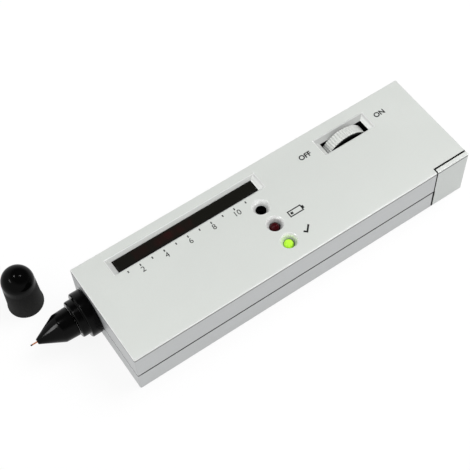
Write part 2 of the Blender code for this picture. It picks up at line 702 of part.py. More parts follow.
def make_battery_cover():
    """The open-topped end cap, with a lip that slides inside the shells' ends."""
    axis = add_axis("cover_slide", (COVER_X, 0, 0))
    cover = case_block("battery_cover")
    lip_x = COVER_X - COVER_LIP_REACH
    cut(cover, wide_block("cover_before_lip", PROBE_END_X - OVERRUN, lip_x,
                          -OVERRUN, CASE_HEIGHT + OVERRUN))
    rebate = wide_block("cover_lip_rebate", lip_x - OVERRUN, COVER_X,
                        -OVERRUN, CASE_HEIGHT + OVERRUN)
    cut(rebate, cavity("cover_lip_core", LIP, lip_x - 2 * OVERRUN, COVER_X + OVERRUN,
                       FLOOR - LIP, CEILING_Z - 2 * FIT_GAP))
    cut(cover, rebate)
    cut(cover, cavity("cover_cavity", 0, PROBE_END_X, BATTERY_END_X - WALL,
                      FLOOR, CASE_HEIGHT + OVERRUN))
    cut(cover, add_block("cover_plate_space",
                         (PROBE_END_X, NEAR_Y + COVER_SIDE - COVER_GAP, CEILING_Z - FIT_GAP),
                         (BATTERY_END_X + OVERRUN, FAR_Y + OVERRUN, CASE_HEIGHT + OVERRUN)))
    # Finger grip: a few shallow grooves across the underside
    middle_x = (COVER_X + BATTERY_END_X) / 2
    first_x = middle_x - GRIP_PITCH * (GRIP_COUNT - 1) / 2
    for number in range(GRIP_COUNT):
        groove = add_rod(f"grip_groove_{number + 1}", GRIP_DEPTH, -GRIP_WIDTH / 2, GRIP_WIDTH / 2,
                         SMALL_STEPS // 2)
        groove.location = (first_x + GRIP_PITCH * number, 0, 0)
        groove.rotation_euler = (math.pi / 2, 0, 0)
        cut(cover, groove)
    cover.parent = axis
    cover.location -= axis.location
    return cover


def make_window():
    """The smoked strip: a flange under the top plate and a raised land in the opening."""
    flange_top = CEILING_Z - FIT_GAP
    window = add_block("display_window",
                       (WINDOW_X - WINDOW_FLANGE, WINDOW_NEAR_Y - WINDOW_FLANGE,
                        flange_top - WINDOW_FLANGE_THICK),
                       (WINDOW_END_X + WINDOW_FLANGE, WINDOW_FAR_Y + WINDOW_FLANGE, flange_top),
                       SMOKED_WINDOW)
    land = add_block("window_land",
                     (WINDOW_X + FIT_GAP, WINDOW_NEAR_Y + FIT_GAP,
                      flange_top - WINDOW_FLANGE_THICK / 2),
                     (WINDOW_END_X - FIT_GAP, WINDOW_FAR_Y - FIT_GAP,
                      CASE_HEIGHT - WINDOW_DEPTH))
    join(window, land)
    return window


def make_case_screws():
    for number, (x, y) in enumerate(SCREW_PLACES, 1):
        seat_z = SCREW_RECESS_DEPTH - FIT_GAP
        head_z = seat_z - SCREW_HEAD_HEIGHT
        screw = add_turned(f"case_screw_{number}", rounded_path([
            (0, SCREW_TIP_Z, 0),
            (SCREW_SHANK_RADIUS / 2, SCREW_TIP_Z, 0),
            (SCREW_SHANK_RADIUS, SCREW_TIP_Z - SCREW_SHANK_RADIUS, 0),
            (SCREW_SHANK_RADIUS, seat_z, 0),
            (SCREW_HEAD_RADIUS, seat_z, 0),
            (SCREW_HEAD_RADIUS, head_z, SCREW_HEAD_HEIGHT / 2),
            (0, head_z, 0),
        ]), SMALL_STEPS, STEEL)
        screw.location = (x, y, 0)
        half = SCREW_CROSS / 2
        slit = SCREW_CROSS_THICK / 2
        for name, reach_x, reach_y in (("a", half, slit), ("b", slit, half)):
            arm = add_block(f"screw_{number}_cross_{name}",
                            (x - reach_x, y - reach_y, -OVERRUN),
                            (x + reach_x, y + reach_y, head_z + SCREW_CROSS_DEPTH))
            cut(screw, arm)


# Probe


def make_probe():
    """The probe's turned pieces. Each profile's height is the distance from the case end."""
    axis = add_axis("probe_axis", (PROBE_END_X, PROBE_Y, PROBE_HEIGHT), (0, -math.pi / 2, 0))
    groove_rear = -WALL - FIT_GAP
    flange_rear = groove_rear - FLANGE_THICK
    tube_rear = flange_rear - REAR_TUBE_LENGTH
    spigot_bore = SPIGOT_RADIUS + FIT_GAP
    bore_step = -SPIGOT_REACH - FIT_GAP
    collar = add_turned("probe_collar", rounded_path([
        (spigot_bore, STEP_FRONT, 0),
        (STEP_RADIUS, STEP_FRONT, STEP_ROUND),
        (STEP_RADIUS, DISC_FRONT, 0),
        (DISC_RADIUS, DISC_FRONT, STEP_ROUND),
        (DISC_RADIUS, FIT_GAP, STEP_ROUND / 2),
        (GROOVE_RADIUS, FIT_GAP, 0),
        (GROOVE_RADIUS, groove_rear, 0),
        (FLANGE_RADIUS, groove_rear, 0),
        (FLANGE_RADIUS, flange_rear, 0),
        (REAR_TUBE_RADIUS, flange_rear, 0),
        (REAR_TUBE_RADIUS, tube_rear, 0),
        (REAR_BORE_RADIUS, tube_rear, 0),
        (REAR_BORE_RADIUS, bore_step, 0),
        (spigot_bore, bore_step, 0),
    ]), ROUND_STEPS, BLACK_PLASTIC, bored=True)

    plunger_bore = PLUNGER_RADIUS + FIT_GAP
    pin_bore = PIN_RADIUS + FIT_GAP
    neck_rear = STEP_FRONT + FIT_GAP
    nose = add_turned("probe_nose", rounded_path([
        (pin_bore, NOSE_LENGTH, 0),
        (NOSE_TIP_RADIUS, NOSE_LENGTH, NOSE_TIP_ROUND),
        (NECK_FRONT_RADIUS, NECK_FRONT, NECK_ROUND),
        (NECK_RADIUS, neck_rear, NOSE_TIP_ROUND),
        (SPIGOT_RADIUS, neck_rear, 0),
        (SPIGOT_RADIUS, -SPIGOT_REACH, 0),
        (plunger_bore, -SPIGOT_REACH, 0),
        (plunger_bore, PLUNGER_FRONT + FIT_GAP, 0),
        (pin_bore, PLUNGER_FRONT + FIT_GAP, 0),
    ]), ROUND_STEPS, BLACK_PLASTIC, bored=True)

    plug = add_turned("probe_rear_plug", [
        (0, PLUG_FRONT),
        (PLUNGER_RADIUS, PLUG_FRONT),
        (PLUNGER_RADIUS, bore_step),
        (REAR_BORE_RADIUS - FIT_GAP, bore_step),
        (REAR_BORE_RADIUS - FIT_GAP, bore_step - PLUG_FLANGE_THICK),
        (0, bore_step - PLUG_FLANGE_THICK),
    ], SMALL_STEPS, BLACK_PLASTIC)

    plunger_rear = PLUNGER_FRONT - PLUNGER_LENGTH
    plunger = add_turned("tip_plunger", [
        (0, plunger_rear + PLUNGER_REAR_WALL),
        (pin_bore, plunger_rear + PLUNGER_REAR_WALL),
        (pin_bore, PLUNGER_FRONT),
        (PLUNGER_RADIUS, PLUNGER_FRONT),
        (PLUNGER_RADIUS, plunger_rear),
        (0, plunger_rear),
    ], SMALL_STEPS, BRASS)

    pin = add_turned("probe_tip", [
        (0, PIN_FRONT),
        (PIN_RADIUS / 2, PIN_FRONT),
        (PIN_RADIUS, PIN_FRONT - PIN_RADIUS),
        (PIN_RADIUS, PIN_FRONT - PIN_LENGTH),
        (0, PIN_FRONT - PIN_LENGTH),
    ], SMALL_STEPS, COPPER)

    coil_start = PLUG_FRONT + FIT_GAP + SPRING_WIRE_RADIUS
    coil_end = plunger_rear - FIT_GAP - SPRING_WIRE_RADIUS
    count = SPRING_TURNS * SPRING_POINTS_PER_TURN
    turns = [math.tau * index / SPRING_POINTS_PER_TURN for index in range(count + 1)]
    spring = add_wire("tip_spring", [
        (SPRING_RADIUS * math.cos(turn), SPRING_RADIUS * math.sin(turn),
         coil_start + (coil_end - coil_start) * index / count)
        for index, turn in enumerate(turns)
    ], SPRING_WIRE_RADIUS, STEEL, fineness=1)

    for piece in (collar, nose, plug, plunger, pin, spring):
        piece.parent = axis

    plug_rear_x = PROBE_END_X - bore_step + PLUG_FLANGE_THICK + FIT_GAP
    tube_rear_x = PROBE_END_X - tube_rear
    arch_z = PART_FOOT_Z + 2 * THIN_LEAD_RADIUS
    for number, side in ((1, -1), (2, 1)):
        y = PROBE_Y + side * LEAD_SPLAY
        add_wire(f"probe_lead_{number}", smooth_route([
            (plug_rear_x, y, PROBE_HEIGHT),
            (plug_rear_x + REAR_TUBE_LENGTH / 2, y, PROBE_HEIGHT),
            (tube_rear_x, y, arch_z),
            (BOARD_X + 2 * THIN_LEAD_RADIUS, y, arch_z + THIN_LEAD_RADIUS),
            (BOARD_X + 4 * THIN_LEAD_RADIUS, y, PART_FOOT_Z + 2 * THIN_LEAD_RADIUS),
            (BOARD_X + 4 * THIN_LEAD_RADIUS, y, PART_FOOT_Z),
        ]), THIN_LEAD_RADIUS, RED_LEAD if side < 0 else BLACK_LEAD)


def make_cap():
    """The vinyl cap, whose bore is the probe's neck plus a sliding clearance."""
    bore = NECK_RADIUS + CAP_BORE_CLEARANCE
    inner_shoulder = CAP_SHOULDER_RADIUS - CAP_WALL
    dome_rise = CAP_HEIGHT - CAP_SHOULDER_HEIGHT
    points = []
    for step in range(CAP_DOME_STEPS + 1):
        turn = math.pi / 2 * step / CAP_DOME_STEPS
        points.append((CAP_SHOULDER_RADIUS * math.sin(turn),
                       CAP_SHOULDER_HEIGHT + dome_rise * math.cos(turn)))
    points += rounded_path([
        (CAP_BASE_RADIUS, CAP_LIP_HEIGHT, 0),
        (CAP_LIP_RADIUS, CAP_LIP_HEIGHT / 2, 0),
        (CAP_LIP_RADIUS, 0, 0),
        (bore, 0, 0),
        (bore, CAP_LIP_HEIGHT, 0),
    ])
    for step in range(CAP_BORE_STEPS, -1, -1):
        turn = math.pi / 2 * step / CAP_BORE_STEPS
        points.append((inner_shoulder * math.sin(turn),
                       CAP_SHOULDER_HEIGHT + (dome_rise - CAP_TOP_WALL) * math.cos(turn)))
    cap = add_turned("probe_cap", points, ROUND_STEPS, CAP_VINYL)
    cap.location = (CAP_X, CAP_Y, 0)


# Thumbwheel and switch


def wheel_outline():
    """The knurled rim as a closed outline, with a smooth stretch in place of some ridges."""
    points = []
    pitch = math.tau / RIDGE_COUNT
    start = math.radians(SMOOTH_START_DEGREES)
    root_radius = WHEEL_RADIUS - RIDGE_DEPTH
    for ridge in range(RIDGE_COUNT):
        angle = start + pitch * ridge
        if ridge < SMOOTH_RIDGES:
            points.append((WHEEL_RADIUS, angle))
            continue
        points.append((WHEEL_RADIUS, angle))
        points.append((WHEEL_RADIUS, angle + pitch * RIDGE_CREST_SHARE))
        points.append((root_radius, angle + pitch * RIDGE_ROOT_SHARE))
    return [(radius * math.sin(angle), radius * math.cos(angle)) for radius, angle in points]


def make_thumbwheel():
    axis = add_axis("wheel_axis", (WHEEL_X, WHEEL_Y, WHEEL_AXIS_HEIGHT), (math.pi / 2, 0, 0))
    curve = bpy.data.curves.new("wheel_outline", "CURVE")
    curve.dimensions = "2D"
    curve.fill_mode = "BOTH"
    curve.extrude = WHEEL_THICK / 2 - WHEEL_CHAMFER
    curve.bevel_depth = WHEEL_CHAMFER
    curve.bevel_resolution = 0
    curve.offset = -WHEEL_CHAMFER
    spline = curve.splines.new("POLY")
    outline = wheel_outline()
    spline.points.add(len(outline) - 1)
    for point, (x, y) in zip(spline.points, outline):
        point.co = (x, y, 0, 1.0)
    spline.use_cyclic_u = True
    guide = bpy.data.objects.new("wheel_outline", curve)
    CUTTERS.objects.link(guide)
    bpy.context.view_layer.update()
    mesh = bpy.data.meshes.new_from_object(
        guide.evaluated_get(bpy.context.evaluated_depsgraph_get()))
    bpy.data.objects.remove(guide, do_unlink=True)
    form = bmesh.new()
    form.from_mesh(mesh)
    bmesh.ops.remove_doubles(form, verts=form.verts, dist=MERGE)
    bmesh.ops.recalc_face_normals(form, faces=form.faces)
    form.to_mesh(mesh)
    form.free()
    mesh.materials.clear()
    mesh.name = "thumbwheel"
    wheel = add_part("thumbwheel", mesh, SILVER_PAINT)
    wheel.parent = axis

    # The axis empty's +Z points to the near side, its -Z to the potentiometer
    near_face = WHEEL_THICK / 2
    for name, side in (("near", 1), ("far", -1)):
        web = add_turned("wheel_web_" + name, [
            (WHEEL_HUB_RADIUS, OVERRUN),
            (WHEEL_WEB_RADIUS, OVERRUN),
            (WHEEL_WEB_RADIUS, -WHEEL_WEB_DEPTH),
            (WHEEL_HUB_RADIUS, -WHEEL_WEB_DEPTH),
        ], ROUND_STEPS, bored=True)
        web.parent = axis
        web.location = (0, 0, side * near_face)
        web.rotation_euler = (0 if side > 0 else math.pi, 0, 0)
        cut(wheel, web)
    bore = add_rod("wheel_bore", POT_SHAFT_RADIUS + FIT_GAP, -WHEEL_THICK, WHEEL_THICK, SMALL_STEPS)
    bore.parent = axis
    cut(wheel, bore)

    pot_front = -near_face - FIT_GAP
    screw_seat = near_face - WHEEL_WEB_DEPTH
    shaft = add_turned("wheel_shaft", [
        (0, screw_seat),
        (POT_SHAFT_RADIUS, screw_seat),
        (POT_SHAFT_RADIUS, pot_front - POT_SHAFT_INSET),
        (0, pot_front - POT_SHAFT_INSET),
    ], SMALL_STEPS, STEEL)
    shaft.parent = axis

    screw = add_turned("wheel_screw", rounded_path([
        (0, near_face - FIT_GAP / 2, 0),
        (POT_SHAFT_RADIUS, near_face - FIT_GAP / 2, 0),
        (POT_SHAFT_RADIUS, screw_seat + FIT_GAP, 0),
        (0, screw_seat + FIT_GAP, 0),
    ]), SMALL_STEPS, STEEL)
    screw.parent = axis
    slit = add_block("wheel_screw_slit",
                     (-WHEEL_HUB_RADIUS, -SCREW_CROSS_THICK / 2, near_face - FIT_GAP),
                     (WHEEL_HUB_RADIUS, SCREW_CROSS_THICK / 2, near_face + OVERRUN))
    slit.parent = axis
    cut(screw, slit)

    pot = add_turned("switch_potentiometer", [
        (0, pot_front - POT_SHAFT_INSET - FIT_GAP),
        (POT_SHAFT_RADIUS + FIT_GAP, pot_front - POT_SHAFT_INSET - FIT_GAP),
        (POT_SHAFT_RADIUS + FIT_GAP, pot_front),
        (POT_RADIUS, pot_front),
        (POT_RADIUS, pot_front - POT_THICK),
        (0, pot_front - POT_THICK),
    ], ROUND_STEPS, STEEL)
    pot.parent = axis
    lug_z = pot_front - POT_THICK / 2
    for number in range(3):
        height = (number - 1) * POT_LUG_PITCH
        lug = add_block(f"pot_lug_{number + 1}",
                        (-POT_RADIUS - POT_LUG_LENGTH, height - POT_LUG / 2,
                         lug_z - POT_LUG_THICK / 2),
                        (-POT_RADIUS / 2, height + POT_LUG / 2, lug_z + POT_LUG_THICK / 2))
        lug.parent = axis
        join(pot, lug)


# Battery


def make_battery():
    axis = add_axis("battery_slide", (BATTERY_X, BATTERY_Y, BATTERY_Z))
    half_width = BATTERY_WIDTH / 2
    half_thick = BATTERY_THICK / 2
    jacket = add_block("battery", (0, -half_width, -half_thick),
                       (BATTERY_LENGTH, half_width, half_thick), BATTERY_JACKET)
    round_edges(jacket, BATTERY_ROUND)
    jacket.parent = axis
    studs = (
        ("battery_positive_stud", -1, POSITIVE_STUD_RADIUS, SMALL_STEPS),
        ("battery_negative_stud", 1, NEGATIVE_STUD_RADIUS, SMALL_STEPS // 2),
    )
    snap = add_block("battery_snap",
                     (SNAP_X, BATTERY_Y - SNAP_WIDTH / 2, BATTERY_Z - SNAP_HEIGHT / 2),
                     (SNAP_X + SNAP_THICK, BATTERY_Y + SNAP_WIDTH / 2, BATTERY_Z + SNAP_HEIGHT / 2),
                     BLACK_PLASTIC)
    round_edges(snap, SNAP_ROUND, 1)
    for name, side, radius, steps in studs:
        # A stud stands on the battery's end face and points along -X
        stud = add_rod(name, radius, FIT_GAP, FIT_GAP + STUD_LENGTH, steps, STEEL)
        stud.parent = axis
        stud.location = (0, side * STUD_SPACING / 2, 0)
        stud.rotation_euler = (0, -math.pi / 2, 0)
        socket = add_rod(name + "_socket", radius + FIT_GAP, -OVERRUN,
                         2 * FIT_GAP + STUD_LENGTH, ROUND_STEPS)
        socket.location = (BATTERY_X, BATTERY_Y + side * STUD_SPACING / 2, BATTERY_Z)
        socket.rotation_euler = (0, -math.pi / 2, 0)
        cut(snap, socket)

    lead_z = BATTERY_Z + SNAP_HEIGHT / 4
    for name, side, material in (("red", -1, RED_LEAD), ("black", 1, BLACK_LEAD)):
        y = BATTERY_Y + side * STUD_SPACING / 2
        landing_x = BOARD_END_X - BOARD_POST_INSET
        landing_y = BATTERY_Y + side * STUD_SPACING / 8
        add_wire("battery_lead_" + name, smooth_route([
            (SNAP_X - FIT_GAP, y, lead_z),
            (SNAP_X - 3 * LEAD_RADIUS, y, lead_z),
            ((SNAP_X + BOARD_END_X) / 2, landing_y, lead_z + 2 * LEAD_RADIUS),
            (BOARD_END_X, landing_y, PART_FOOT_Z + 5 * LEAD_RADIUS),
            (landing_x, landing_y, PART_FOOT_Z + 3 * LEAD_RADIUS),
            (landing_x, landing_y, PART_FOOT_Z),
        ]), LEAD_RADIUS, material)


# Circuit board


def on_board(start, near):
    """A place on the board from its distances to the probe end and the near side."""
    return PROBE_END_X + start, NEAR_Y + near


def make_board():
    low_y = INNER_NEAR_Y + BOARD_SIDE_PLAY
    high_y = INNER_FAR_Y - BOARD_SIDE_PLAY
    add_block("circuit_board", (BOARD_X, low_y, BOARD_HEIGHT), (BOARD_END_X, high_y, BOARD_TOP_Z),
              BOARD_GREEN)

    # The bar display: a row of flat lamps, evenly spaced along the window
    lamp_top = CEILING_Z - FIT_GAP - WINDOW_FLANGE_THICK - FIT_GAP
    window_y = (WINDOW_NEAR_Y + WINDOW_FAR_Y) / 2
    pitch = WINDOW_LENGTH / BAR_LED_COUNT
    for number in range(BAR_LED_COUNT):
        x = WINDOW_X + pitch * (number + 1 / 2)
        add_block(f"bar_led_{number + 1:02d}",
                  (x - BAR_LED_THICK / 2, window_y - BAR_LED_WIDTH / 2, PART_FOOT_Z),
                  (x + BAR_LED_THICK / 2, window_y + BAR_LED_WIDTH / 2, lamp_top), RED_LENS)

    make_lamp("ready_led", DISH_YS[0], GREEN_LENS)
    make_lamp("low_battery_led", DISH_YS[1], RED_LENS)
    make_buzzer()
    make_chip("driver_chip", DRIVER_CHIP_LEGS, *on_board(DRIVER_CHIP_X, DRIVER_CHIP_NEAR))
    make_chip("amplifier_chip", AMPLIFIER_CHIP_LEGS,
              *on_board(AMPLIFIER_CHIP_X, AMPLIFIER_CHIP_NEAR))
    for number in range(2):
        x, y = on_board(CAPACITOR_X, CAPACITOR_NEAR + CAPACITOR_PITCH * number)
        capacitor = add_turned(f"capacitor_{number + 1}", rounded_path([
            (0, CAPACITOR_HEIGHT, 0),
            (CAPACITOR_RADIUS, CAPACITOR_HEIGHT, CAPACITOR_ROUND),
            (CAPACITOR_RADIUS, 0, 0),
            (0, 0, 0),
        ]), SMALL_STEPS, BATTERY_JACKET)
        capacitor.location = (x, y, PART_FOOT_Z)

    x, y = DISH_X - TRIMMER_INSET, NEAR_Y + TRIMMER_NEAR
    half = TRIMMER_SIZE / 2
    trimmer = add_block("trimmer", (x - half, y - half, PART_FOOT_Z),
                        (x + half, y + half, PART_FOOT_Z + TRIMMER_HEIGHT), BLACK_PLASTIC)
    dial = add_rod("trimmer_dial", TRIMMER_DIAL_RADIUS, -TRIMMER_DIAL_DEPTH, OVERRUN, SMALL_STEPS)
    dial.location = (x, y, PART_FOOT_Z + TRIMMER_HEIGHT)
    cut(trimmer, dial)


def make_lamp(name, y, material):
    """A round lamp on two legs, whose dome stands in its dish."""
    top = CASE_HEIGHT - LAMP_TOP_DEPTH - PART_FOOT_Z
    base = top - LAMP_LENGTH
    lamp = add_turned(name, rounded_path([
        (0, top, 0),
        (LAMP_RADIUS, top, LAMP_RADIUS * LAMP_DOME_SHARE),
        (LAMP_RADIUS, base + LAMP_FLANGE_THICK, 0),
        (LAMP_FLANGE_RADIUS, base + LAMP_FLANGE_THICK, 0),
        (LAMP_FLANGE_RADIUS, base, 0),
        (0, base, 0),
    ], 2 * FILLET_STEPS), SMALL_STEPS, material)
    lamp.location = (DISH_X, y, PART_FOOT_Z)
    for side in (-1, 1):
        x = DISH_X + side * LAMP_LEG_SPACING / 2
        leg = add_block(f"{name}_leg_{side + 2}",
                        (x - LAMP_LEG / 2, y - LAMP_LEG / 2, PART_FOOT_Z),
                        (x + LAMP_LEG / 2, y + LAMP_LEG / 2,
                         PART_FOOT_Z + base + LAMP_FLANGE_THICK / 2))
        join(lamp, leg)


def make_buzzer():
    buzzer = add_turned("buzzer", rounded_path([
        (0, BUZZER_HEIGHT - BUZZER_HOLE_DEPTH, 0),
        (BUZZER_HOLE_RADIUS, BUZZER_HEIGHT - BUZZER_HOLE_DEPTH, 0),
        (BUZZER_HOLE_RADIUS, BUZZER_HEIGHT, 0),
        (BUZZER_RADIUS, BUZZER_HEIGHT, BUZZER_ROUND),
        (BUZZER_RADIUS, 0, 0),
        (0, 0, 0),
    ]), ROUND_STEPS, BLACK_PLASTIC)
    buzzer.location = (DISH_X, DISH_YS[2], PART_FOOT_Z)


def make_chip(name, legs, x, y):
    """A chip in a long package, with a row of legs down each side."""
    half_length = CHIP_LEG_PITCH * legs / 2
    half_width = CHIP_WIDTH / 2
    base = PART_FOOT_Z + CHIP_LIFT
    chip = add_block(name, (x - half_length, y - half_width, base),
                     (x + half_length, y + half_width, base + CHIP_HEIGHT), BLACK_PLASTIC)
    for number in range(legs):
        leg_x = x - half_length + CHIP_LEG_PITCH * (number + 1 / 2)
        for side in (-1, 1):
            inner_y = y + side * (half_width - CHIP_LEG)
            outer_y = y + side * (half_width + CHIP_LEG)
            leg = add_block(f"{name}_leg_{number + 1}_{side + 2}",
                            (leg_x - CHIP_LEG / 2, min(inner_y, outer_y), PART_FOOT_Z),
                            (leg_x + CHIP_LEG / 2, max(inner_y, outer_y), base + CHIP_HEIGHT / 2))
            join(chip, leg)


def make_switch_leads():
    """Two leads from the potentiometer along the far wall, past the post, to the board."""
    lug_y = WHEEL_Y + WHEEL_THICK / 2 + FIT_GAP + POT_THICK / 2
    start_x = WHEEL_X - POT_RADIUS - POT_LUG_LENGTH - FIT_GAP
    post_x = SCREW_PLACES[2][0]
    wall_y = INNER_FAR_Y - 2 * LEAD_RADIUS
    board_y = wall_y - 3 * LEAD_RADIUS
    for number, material in ((1, RED_LEAD), (2, BLACK_LEAD)):
        drop = (number - 1) * 3 * LEAD_RADIUS
        lug_height = WHEEL_AXIS_HEIGHT + (2 - number) * POT_LUG_PITCH
        high_z = PART_FOOT_Z + 7 * LEAD_RADIUS - drop
        landing_x = BOARD_END_X - 6 * LEAD_RADIUS + drop
        add_wire(f"switch_lead_{number}", smooth_route([
            (start_x, lug_y, lug_height),
            (start_x - 5 * LEAD_RADIUS, lug_y, lug_height),
            (post_x + 2 * POST_RADIUS, wall_y, high_z),
            (post_x - POST_RADIUS, wall_y, high_z),
            (landing_x + LEAD_RADIUS, board_y, high_z - 2 * LEAD_RADIUS),
            (landing_x, board_y, PART_FOOT_Z + 2 * LEAD_RADIUS),
            (landing_x, board_y, PART_FOOT_Z),
        ]), LEAD_RADIUS, material)


make_top_shell()
make_bottom_shell()
make_battery_cover()
make_window()
make_case_screws()
make_probe()
make_cap()
make_thumbwheel()
make_battery()
make_board()
make_switch_leads()
bpy.context.view_layer.update()
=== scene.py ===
import math

import bmesh
import bpy
from mathutils import Matrix, Vector


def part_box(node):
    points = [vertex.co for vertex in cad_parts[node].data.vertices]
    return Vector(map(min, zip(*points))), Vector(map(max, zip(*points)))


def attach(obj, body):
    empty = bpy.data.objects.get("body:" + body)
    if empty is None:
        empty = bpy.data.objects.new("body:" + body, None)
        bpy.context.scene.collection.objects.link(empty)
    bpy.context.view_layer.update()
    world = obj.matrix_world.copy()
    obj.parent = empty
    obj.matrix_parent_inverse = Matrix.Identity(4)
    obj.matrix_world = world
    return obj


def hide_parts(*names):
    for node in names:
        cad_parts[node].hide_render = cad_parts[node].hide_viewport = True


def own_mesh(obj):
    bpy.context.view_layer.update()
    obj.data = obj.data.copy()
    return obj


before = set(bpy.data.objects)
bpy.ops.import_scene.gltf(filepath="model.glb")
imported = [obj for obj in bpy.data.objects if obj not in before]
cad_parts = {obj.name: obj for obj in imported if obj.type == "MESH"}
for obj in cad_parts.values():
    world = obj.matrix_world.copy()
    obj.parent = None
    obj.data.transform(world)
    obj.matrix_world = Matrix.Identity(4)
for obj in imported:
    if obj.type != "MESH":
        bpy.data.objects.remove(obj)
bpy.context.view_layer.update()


def middle_of(node):
    """The middle of a node's box at rest."""
    low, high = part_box(node)
    return (low + high) / 2


# Where the photograph was taken from
CAMERA_PLACE = (-0.118745, -0.168805, 0.343787)
CAMERA_RIGHT = (0.82497, -0.56420, -0.03315)
CAMERA_UP = (0.49622, 0.69498, 0.52035)
CAMERA_BACK = (-0.27054, -0.44573, 0.85331)
CAMERA_LENS = 85.875
CAMERA_SENSOR = 36.0
CAMERA_NEAR = 0.01
CAMERA_FAR = 30.0

# Floor, lamps and sky
FLOOR_HALF = 6.0
FLOOR_SHADOW_SHARE = 0.12
FLOOR_GREY = (0.45, 0.45, 0.45)
FLOOR_WHITE = (1.0, 1.0, 1.0)
LAMP_AIM = (0, 0, 0.01)
LAMPS = (
    {"name": "lamp_back", "place": (-0.194, 0.217, 0.914), "size": (0.110, 0.095),
     "power": 1.5, "on_matt": False},
    {"name": "lamp_side", "place": (0.338, -0.037, 0.896), "size": (0.085, 0.085),
     "power": 1.5, "on_matt": False},
    {"name": "lamp_wash", "place": (0.36, -0.04, 0.66), "size": (0.50, 0.50),
     "power": 3.0, "in_gloss": False},
    {"name": "lamp_strip", "place": (-0.768, 0.127, 0.663), "size": (0.40, 0.09),
     "power": 1.9, "on_matt": False},
)
SKY_BRIGHT = (1.0, 1.0, 1.0)
SKY_DARK = (0.10, 0.10, 0.10)
SKY_BRIGHT_HEIGHT = 0.36
SKY_DARK_HEIGHT = 0.72
SKY_LEAN_SHARE = 0.50
SKY_FILL = (0.72, 0.72, 0.72)

# Where the pieces are, from the frame
TOP_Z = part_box("top_shell")[1].z
WINDOW_LOW, WINDOW_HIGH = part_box("display_window")
BATTERY_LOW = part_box("battery")[0]
WHEEL_LOW, WHEEL_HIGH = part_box("thumbwheel")
WHEEL_CENTRE = middle_of("thumbwheel")
PROBE_CENTRE = middle_of("probe_nose")
TIP_LOW, TIP_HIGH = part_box("probe_tip")
CAP_LOW, CAP_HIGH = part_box("probe_cap")
CAP_CENTRE = middle_of("probe_cap")
CASE_END_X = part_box("top_shell")[0].x
CASE_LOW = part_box("bottom_shell")[0]
CASE_HIGH = Vector((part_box("battery_cover")[1].x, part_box("bottom_shell")[1].y, TOP_Z))

# Fineness
MERGE = 0.00001
FLAT_ANGLE = math.radians(1)
SHARP_ANGLE = math.radians(35)
BEVEL_ANGLE = math.radians(40)
BEVEL_STEPS = 2
FINE_EDGE = 0.00012
CASE_EDGE = 0.00010
TURNED_STEPS = 96
FILLET_STEPS = 6

# What counts as the painted outside of the case
SKIN = 0.0005
SKIN_LEAN = 0.3
RECESS_DEPTH = 0.0025
RECESS_LEAN = 0.05

# Material slots of the case and its cover
OUTER = 0
INSIDE = 1
RECESS = 2
DISH = 3
SIDE = 4

# Sockets of the mix nodes, by number where several have the same name
FIRST_COLOUR = 6
SECOND_COLOUR = 7
MIXED_COLOUR = 2
FIRST_SHADER = 1
SECOND_SHADER = 2

# Surface grain, in grains to the metre, with the span of noise and the plain gloss
PAINT_GRAIN = 6500.0
MOTTLE_GRAIN = 60.0
MOULD_GRAIN = 2500.0
NOISE_LOW = 0.3
NOISE_HIGH = 0.7
NOISE_DETAIL = 3.0
GLOSS_SHARE = 0.15
PLAIN_SPECULAR = 0.5

# Silver paint
SILVER = (0.70, 0.725, 0.695)
# painted shade: the case's sides take a darker, bluer copy of the top's silver
SIDE_SHADED_SILVER = (0.650, 0.664, 0.667)
# painted light: the cover takes lighter silvers than the case, its sides a slightly shaded copy
# of its top's
COVER_LIT_SILVER = (0.74, 0.765, 0.735)
COVER_SIDE_SHADED_SILVER = (0.728, 0.755, 0.735)
# painted light: the recesses take a lighter silver and the dishes round the lamps a lighter one
# still, standing in for the light they reflect
RECESS_LIT_SILVER = (0.76, 0.775, 0.755)
DISH_LIT_SILVER = (0.92, 0.93, 0.915)
WHEEL_SILVER = (0.70, 0.715, 0.69)
PAINT_METALLIC = 0.30
RECESS_METALLIC = 0.50
DISH_METALLIC = 0.38
PAINT_SPECULAR = 0.4
PAINT_ROUGHNESS = (0.40, 0.50)
RECESS_ROUGHNESS = (0.32, 0.40)
DISH_ROUGHNESS = (0.24, 0.30)
PAINT_TONE_SHARES = (0.985, 1.015)
FLAKE_SHARE = 0.95
PAINT_RELIEF = 0.000006
RECESS_RELIEF = 0.0000008
# painted highlight: a pale line along each recess's rim
RECESS_RIM_HIGHLIGHT = (0.95, 0.96, 0.945)
RECESS_RIM_DEPTH = 0.00025
# strength of the painted shade line beneath the top edge, on the case and on the cover
CASE_LINE_SHARE = 0.95
COVER_LINE_SHARE = 0.4

# Painted highlight along the case's top edge and a painted shade line beneath it, within a span
# from its sides and at depths below its top
EDGE_SPAN = 0.0015
EDGE_HIGHLIGHT_LOW = 0.00034
EDGE_HIGHLIGHT_HIGH = 0.00008
EDGE_HIGHLIGHT_COLOUR = (0.86, 0.87, 0.85)
EDGE_LINE_LOW = 0.00100
EDGE_LINE_HIGH = 0.00052
EDGE_LINE_SHARE = 0.18
EDGE_SOFT = 0.00005

# Shade beside the seam and the cover's gap, with the heights and places of their edges
SEAM_LOW = 0.0094
SEAM_HIGH = 0.0098
SEAM_SHADE = 0.00016
COVER_GAP_LOW = 0.0547
COVER_GAP_HIGH = 0.0552
COVER_GAP_SHADE = 0.00020
TOP_GAP_LOW = -0.01885
TOP_GAP_HIGH = -0.01835
TOP_GAP_SHADE = 0.00006
GAP_SHADE_SHARE = 0.04
END_LIP_DEPTH = 0.0012

# The thumbwheel's sides and web, painted black as shade for the shadow inside the slot
WHEEL_SHADE_BLACK = (0.010, 0.010, 0.010)

